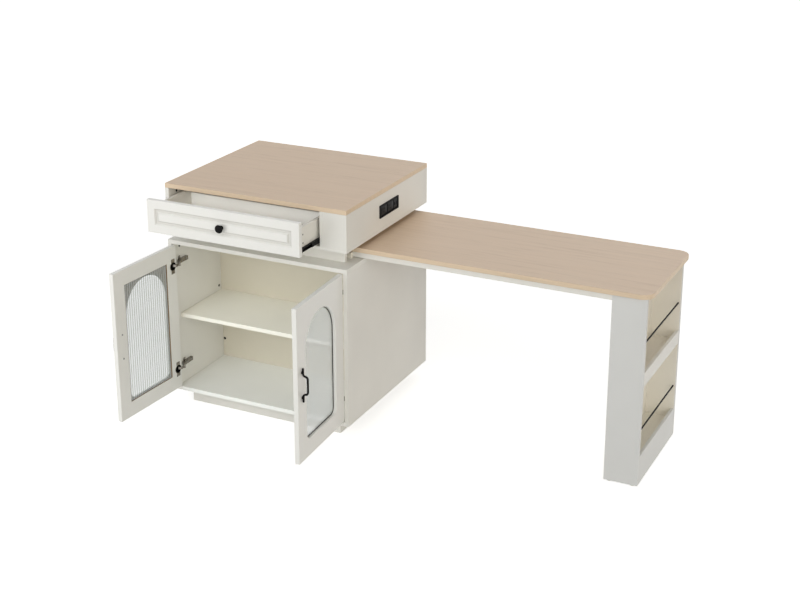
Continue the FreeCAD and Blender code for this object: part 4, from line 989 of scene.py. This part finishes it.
PICTURE_WIDTH, PICTURE_HEIGHT = 800, 600
SENSOR = 36                 # millimetres
FOCUS = 1448.95             # focal length in pixels of the picture
AXIS_ROW = 215              # pixel row that the lens's axis meets
CAMERA_PLACE = (2.72459, -4.376332, 2.517164)
CAMERA_DOWN = 18.2702       # degrees below level
CAMERA_TURN = 26.097        # degrees to the left of straight back
CAMERA_REACH = 100          # metres that it sees


def looked_at(tree):
    """1 where the camera, a reflection or a pane sees a surface, and 0 where it only gives light."""
    rays = add(tree, "ShaderNodeLightPath")
    first = add(tree, "ShaderNodeMath", {"operation": "ADD", "use_clamp": True},
                {0: rays.outputs["Is Camera Ray"], 1: rays.outputs["Is Glossy Ray"]})
    return add(tree, "ShaderNodeMath", {"operation": "ADD", "use_clamp": True},
               {0: first.outputs[0], 1: rays.outputs["Is Transmission Ray"]}).outputs[0]


def floor_material(name):
    """A white studio floor: matt for the light that falls on the object, and white with only the
    object's own shadow where the camera, a reflection or a pane sees it."""
    tree = new_material(name, "#F2F2F0")
    seen = looked_at(tree)
    matt = add(tree, "ShaderNodeBsdfDiffuse", {"Color": linear("#E4E4E2")})
    glow = add(tree, "ShaderNodeEmission", {"Strength": FLOOR_GLOW})
    lifted = add(tree, "ShaderNodeAddShader", links={0: matt.outputs[0], 1: glow.outputs[0]})
    add(tree, "ShaderNodeOutputMaterial", links={"Surface": either(tree, seen, matt, lifted)})
    return bpy.data.materials[name]


def studio_world(scene):
    """An even studio: a set level of light, and plain white where it is looked at."""
    world = bpy.data.worlds.new("studio")
    world.use_nodes = True
    tree = world.node_tree
    tree.nodes.clear()
    seen = looked_at(tree)
    light = add(tree, "ShaderNodeBackground", {"Color": linear("#FFFFFF"), "Strength": WORLD_LIGHT})
    white = add(tree, "ShaderNodeBackground", {"Color": linear("#FFFFFF"), "Strength": 1.0})
    add(tree, "ShaderNodeOutputWorld", links={"Surface": either(tree, seen, light, white)})
    scene.world = world


def studio_floor(scene):
    """A wide floor just below the object."""
    mesh = bmesh.new()
    bmesh.ops.create_grid(mesh, x_segments=1, y_segments=1, size=FLOOR_REACH)
    data = bpy.data.meshes.new("floor")
    mesh.to_mesh(data)
    mesh.free()
    data.materials.append(floor_material("studio_floor"))
    floor = bpy.data.objects.new("floor", data)
    floor.location = (0, 0, -FLOOR_DROP)
    scene.collection.objects.link(floor)


def aimed(source):
    """The turn of a lamp that shines from a direction."""
    return (-source).to_track_quat("-Z", "Y").to_euler()


def lamp(name, kind, strength, colour):
    """A lamp that the camera doesn't see."""
    data = bpy.data.lights.new(name, kind)
    data.energy = strength
    data.color = linear(colour)[:3]
    lit = bpy.data.objects.new(name, data)
    lit.visible_camera = False
    bpy.context.scene.collection.objects.link(lit)
    return lit


def sun(name, azimuth, elevation, strength, colour, width=50):
    """A sun as wide as a softbox, in degrees, at an azimuth, 0 in front and 90 on the right."""
    lit = lamp(name, "SUN", strength, colour)
    lit.data.angle = math.radians(width)
    turn, rise = math.radians(azimuth), math.radians(elevation)
    lit.rotation_euler = aimed(Vector((math.sin(turn) * math.cos(rise), -math.cos(turn) * math.cos(rise),
                                       math.sin(rise))))
    return lit


def softbox():
    """A rectangular softbox in front, on the left."""
    box = lamp("front_box", "AREA", SOFTBOX_WATTS, "#FFFFFF")
    box.data.shape = "RECTANGLE"
    box.data.size, box.data.size_y = SOFTBOX_SIZE
    box.location = SOFTBOX_PLACE
    box.rotation_euler = aimed(box.location - Vector(SOFTBOX_AIM))


def set_camera(scene):
    """A camera with the place, turn and lens that were fitted to see the island."""
    view = bpy.data.cameras.new("camera")
    view.sensor_width = SENSOR
    view.lens = FOCUS * SENSOR / PICTURE_WIDTH
    view.shift_y = (AXIS_ROW - PICTURE_HEIGHT / 2) / PICTURE_WIDTH
    view.clip_end = CAMERA_REACH
    camera = bpy.data.objects.new("camera", view)
    camera.location = CAMERA_PLACE
    camera.rotation_euler = (math.radians(90 - CAMERA_DOWN), 0, math.radians(CAMERA_TURN))
    scene.collection.objects.link(camera)
    scene.camera = camera


class ISLAND_OT_stage(bpy.types.Operator):
    """Set the floor, the studio light and the camera"""
    bl_idname = "island.stage"
    bl_label = "Set the stage"

    def execute(self, context):
        scene = context.scene
        studio_floor(scene)
        studio_world(scene)
        for settings in SUNS:
            sun(*settings)
        for name, rise, strength, colour, width, boards in FILLS:
            fill = sun(name, 0, rise, strength, colour, width)
            lit = bpy.data.collections.new(name + "_boards")
            for node in boards:
                lit.objects.link(NODES[node])
            fill.light_linking.receiver_collection = lit
        softbox()
        set_camera(scene)
        scene.view_settings.view_transform = "Standard"
        return {"FINISHED"}


OPERATORS = (
    ISLAND_OT_finish_boards,
    ISLAND_OT_wood_tops,
    ISLAND_OT_door_frames,
    ISLAND_OT_reeded_panes,
    ISLAND_OT_hinge_cups,
    ISLAND_OT_hinge_screws,
    ISLAND_OT_handle_screws,
    ISLAND_OT_cam_locks,
    ISLAND_OT_drawer_fittings,
    ISLAND_OT_outlet,
    ISLAND_OT_stage,
)


class ISLAND_PT_panel(bpy.types.Panel):
    """Lists the steps that dress the island"""
    bl_label = "Kitchen Island"
    bl_idname = "ISLAND_PT_panel"
    bl_space_type = "VIEW_3D"
    bl_region_type = "UI"
    bl_category = "Kitchen Island"

    def draw(self, context):
        for group in (context.scene.island_sizes, context.scene.island_colours):
            box = self.layout.box()
            for name in group.__annotations__:
                box.prop(group, name)
        for step in OPERATORS:
            self.layout.operator(step.bl_idname)


CLASSES = (IslandSizes, IslandColours) + OPERATORS + (ISLAND_PT_panel,)


def register():
    for entry in CLASSES:
        bpy.utils.register_class(entry)
    bpy.types.Scene.island_sizes = bpy.props.PointerProperty(type=IslandSizes)
    bpy.types.Scene.island_colours = bpy.props.PointerProperty(type=IslandColours)


def unregister():
    del bpy.types.Scene.island_colours
    del bpy.types.Scene.island_sizes
    for entry in reversed(CLASSES):
        bpy.utils.unregister_class(entry)


def main():
    register()
    for step in OPERATORS:
        group, name = step.bl_idname.split(".")
        getattr(getattr(bpy.ops, group), name)()


if __name__ == "__main__":
    main()
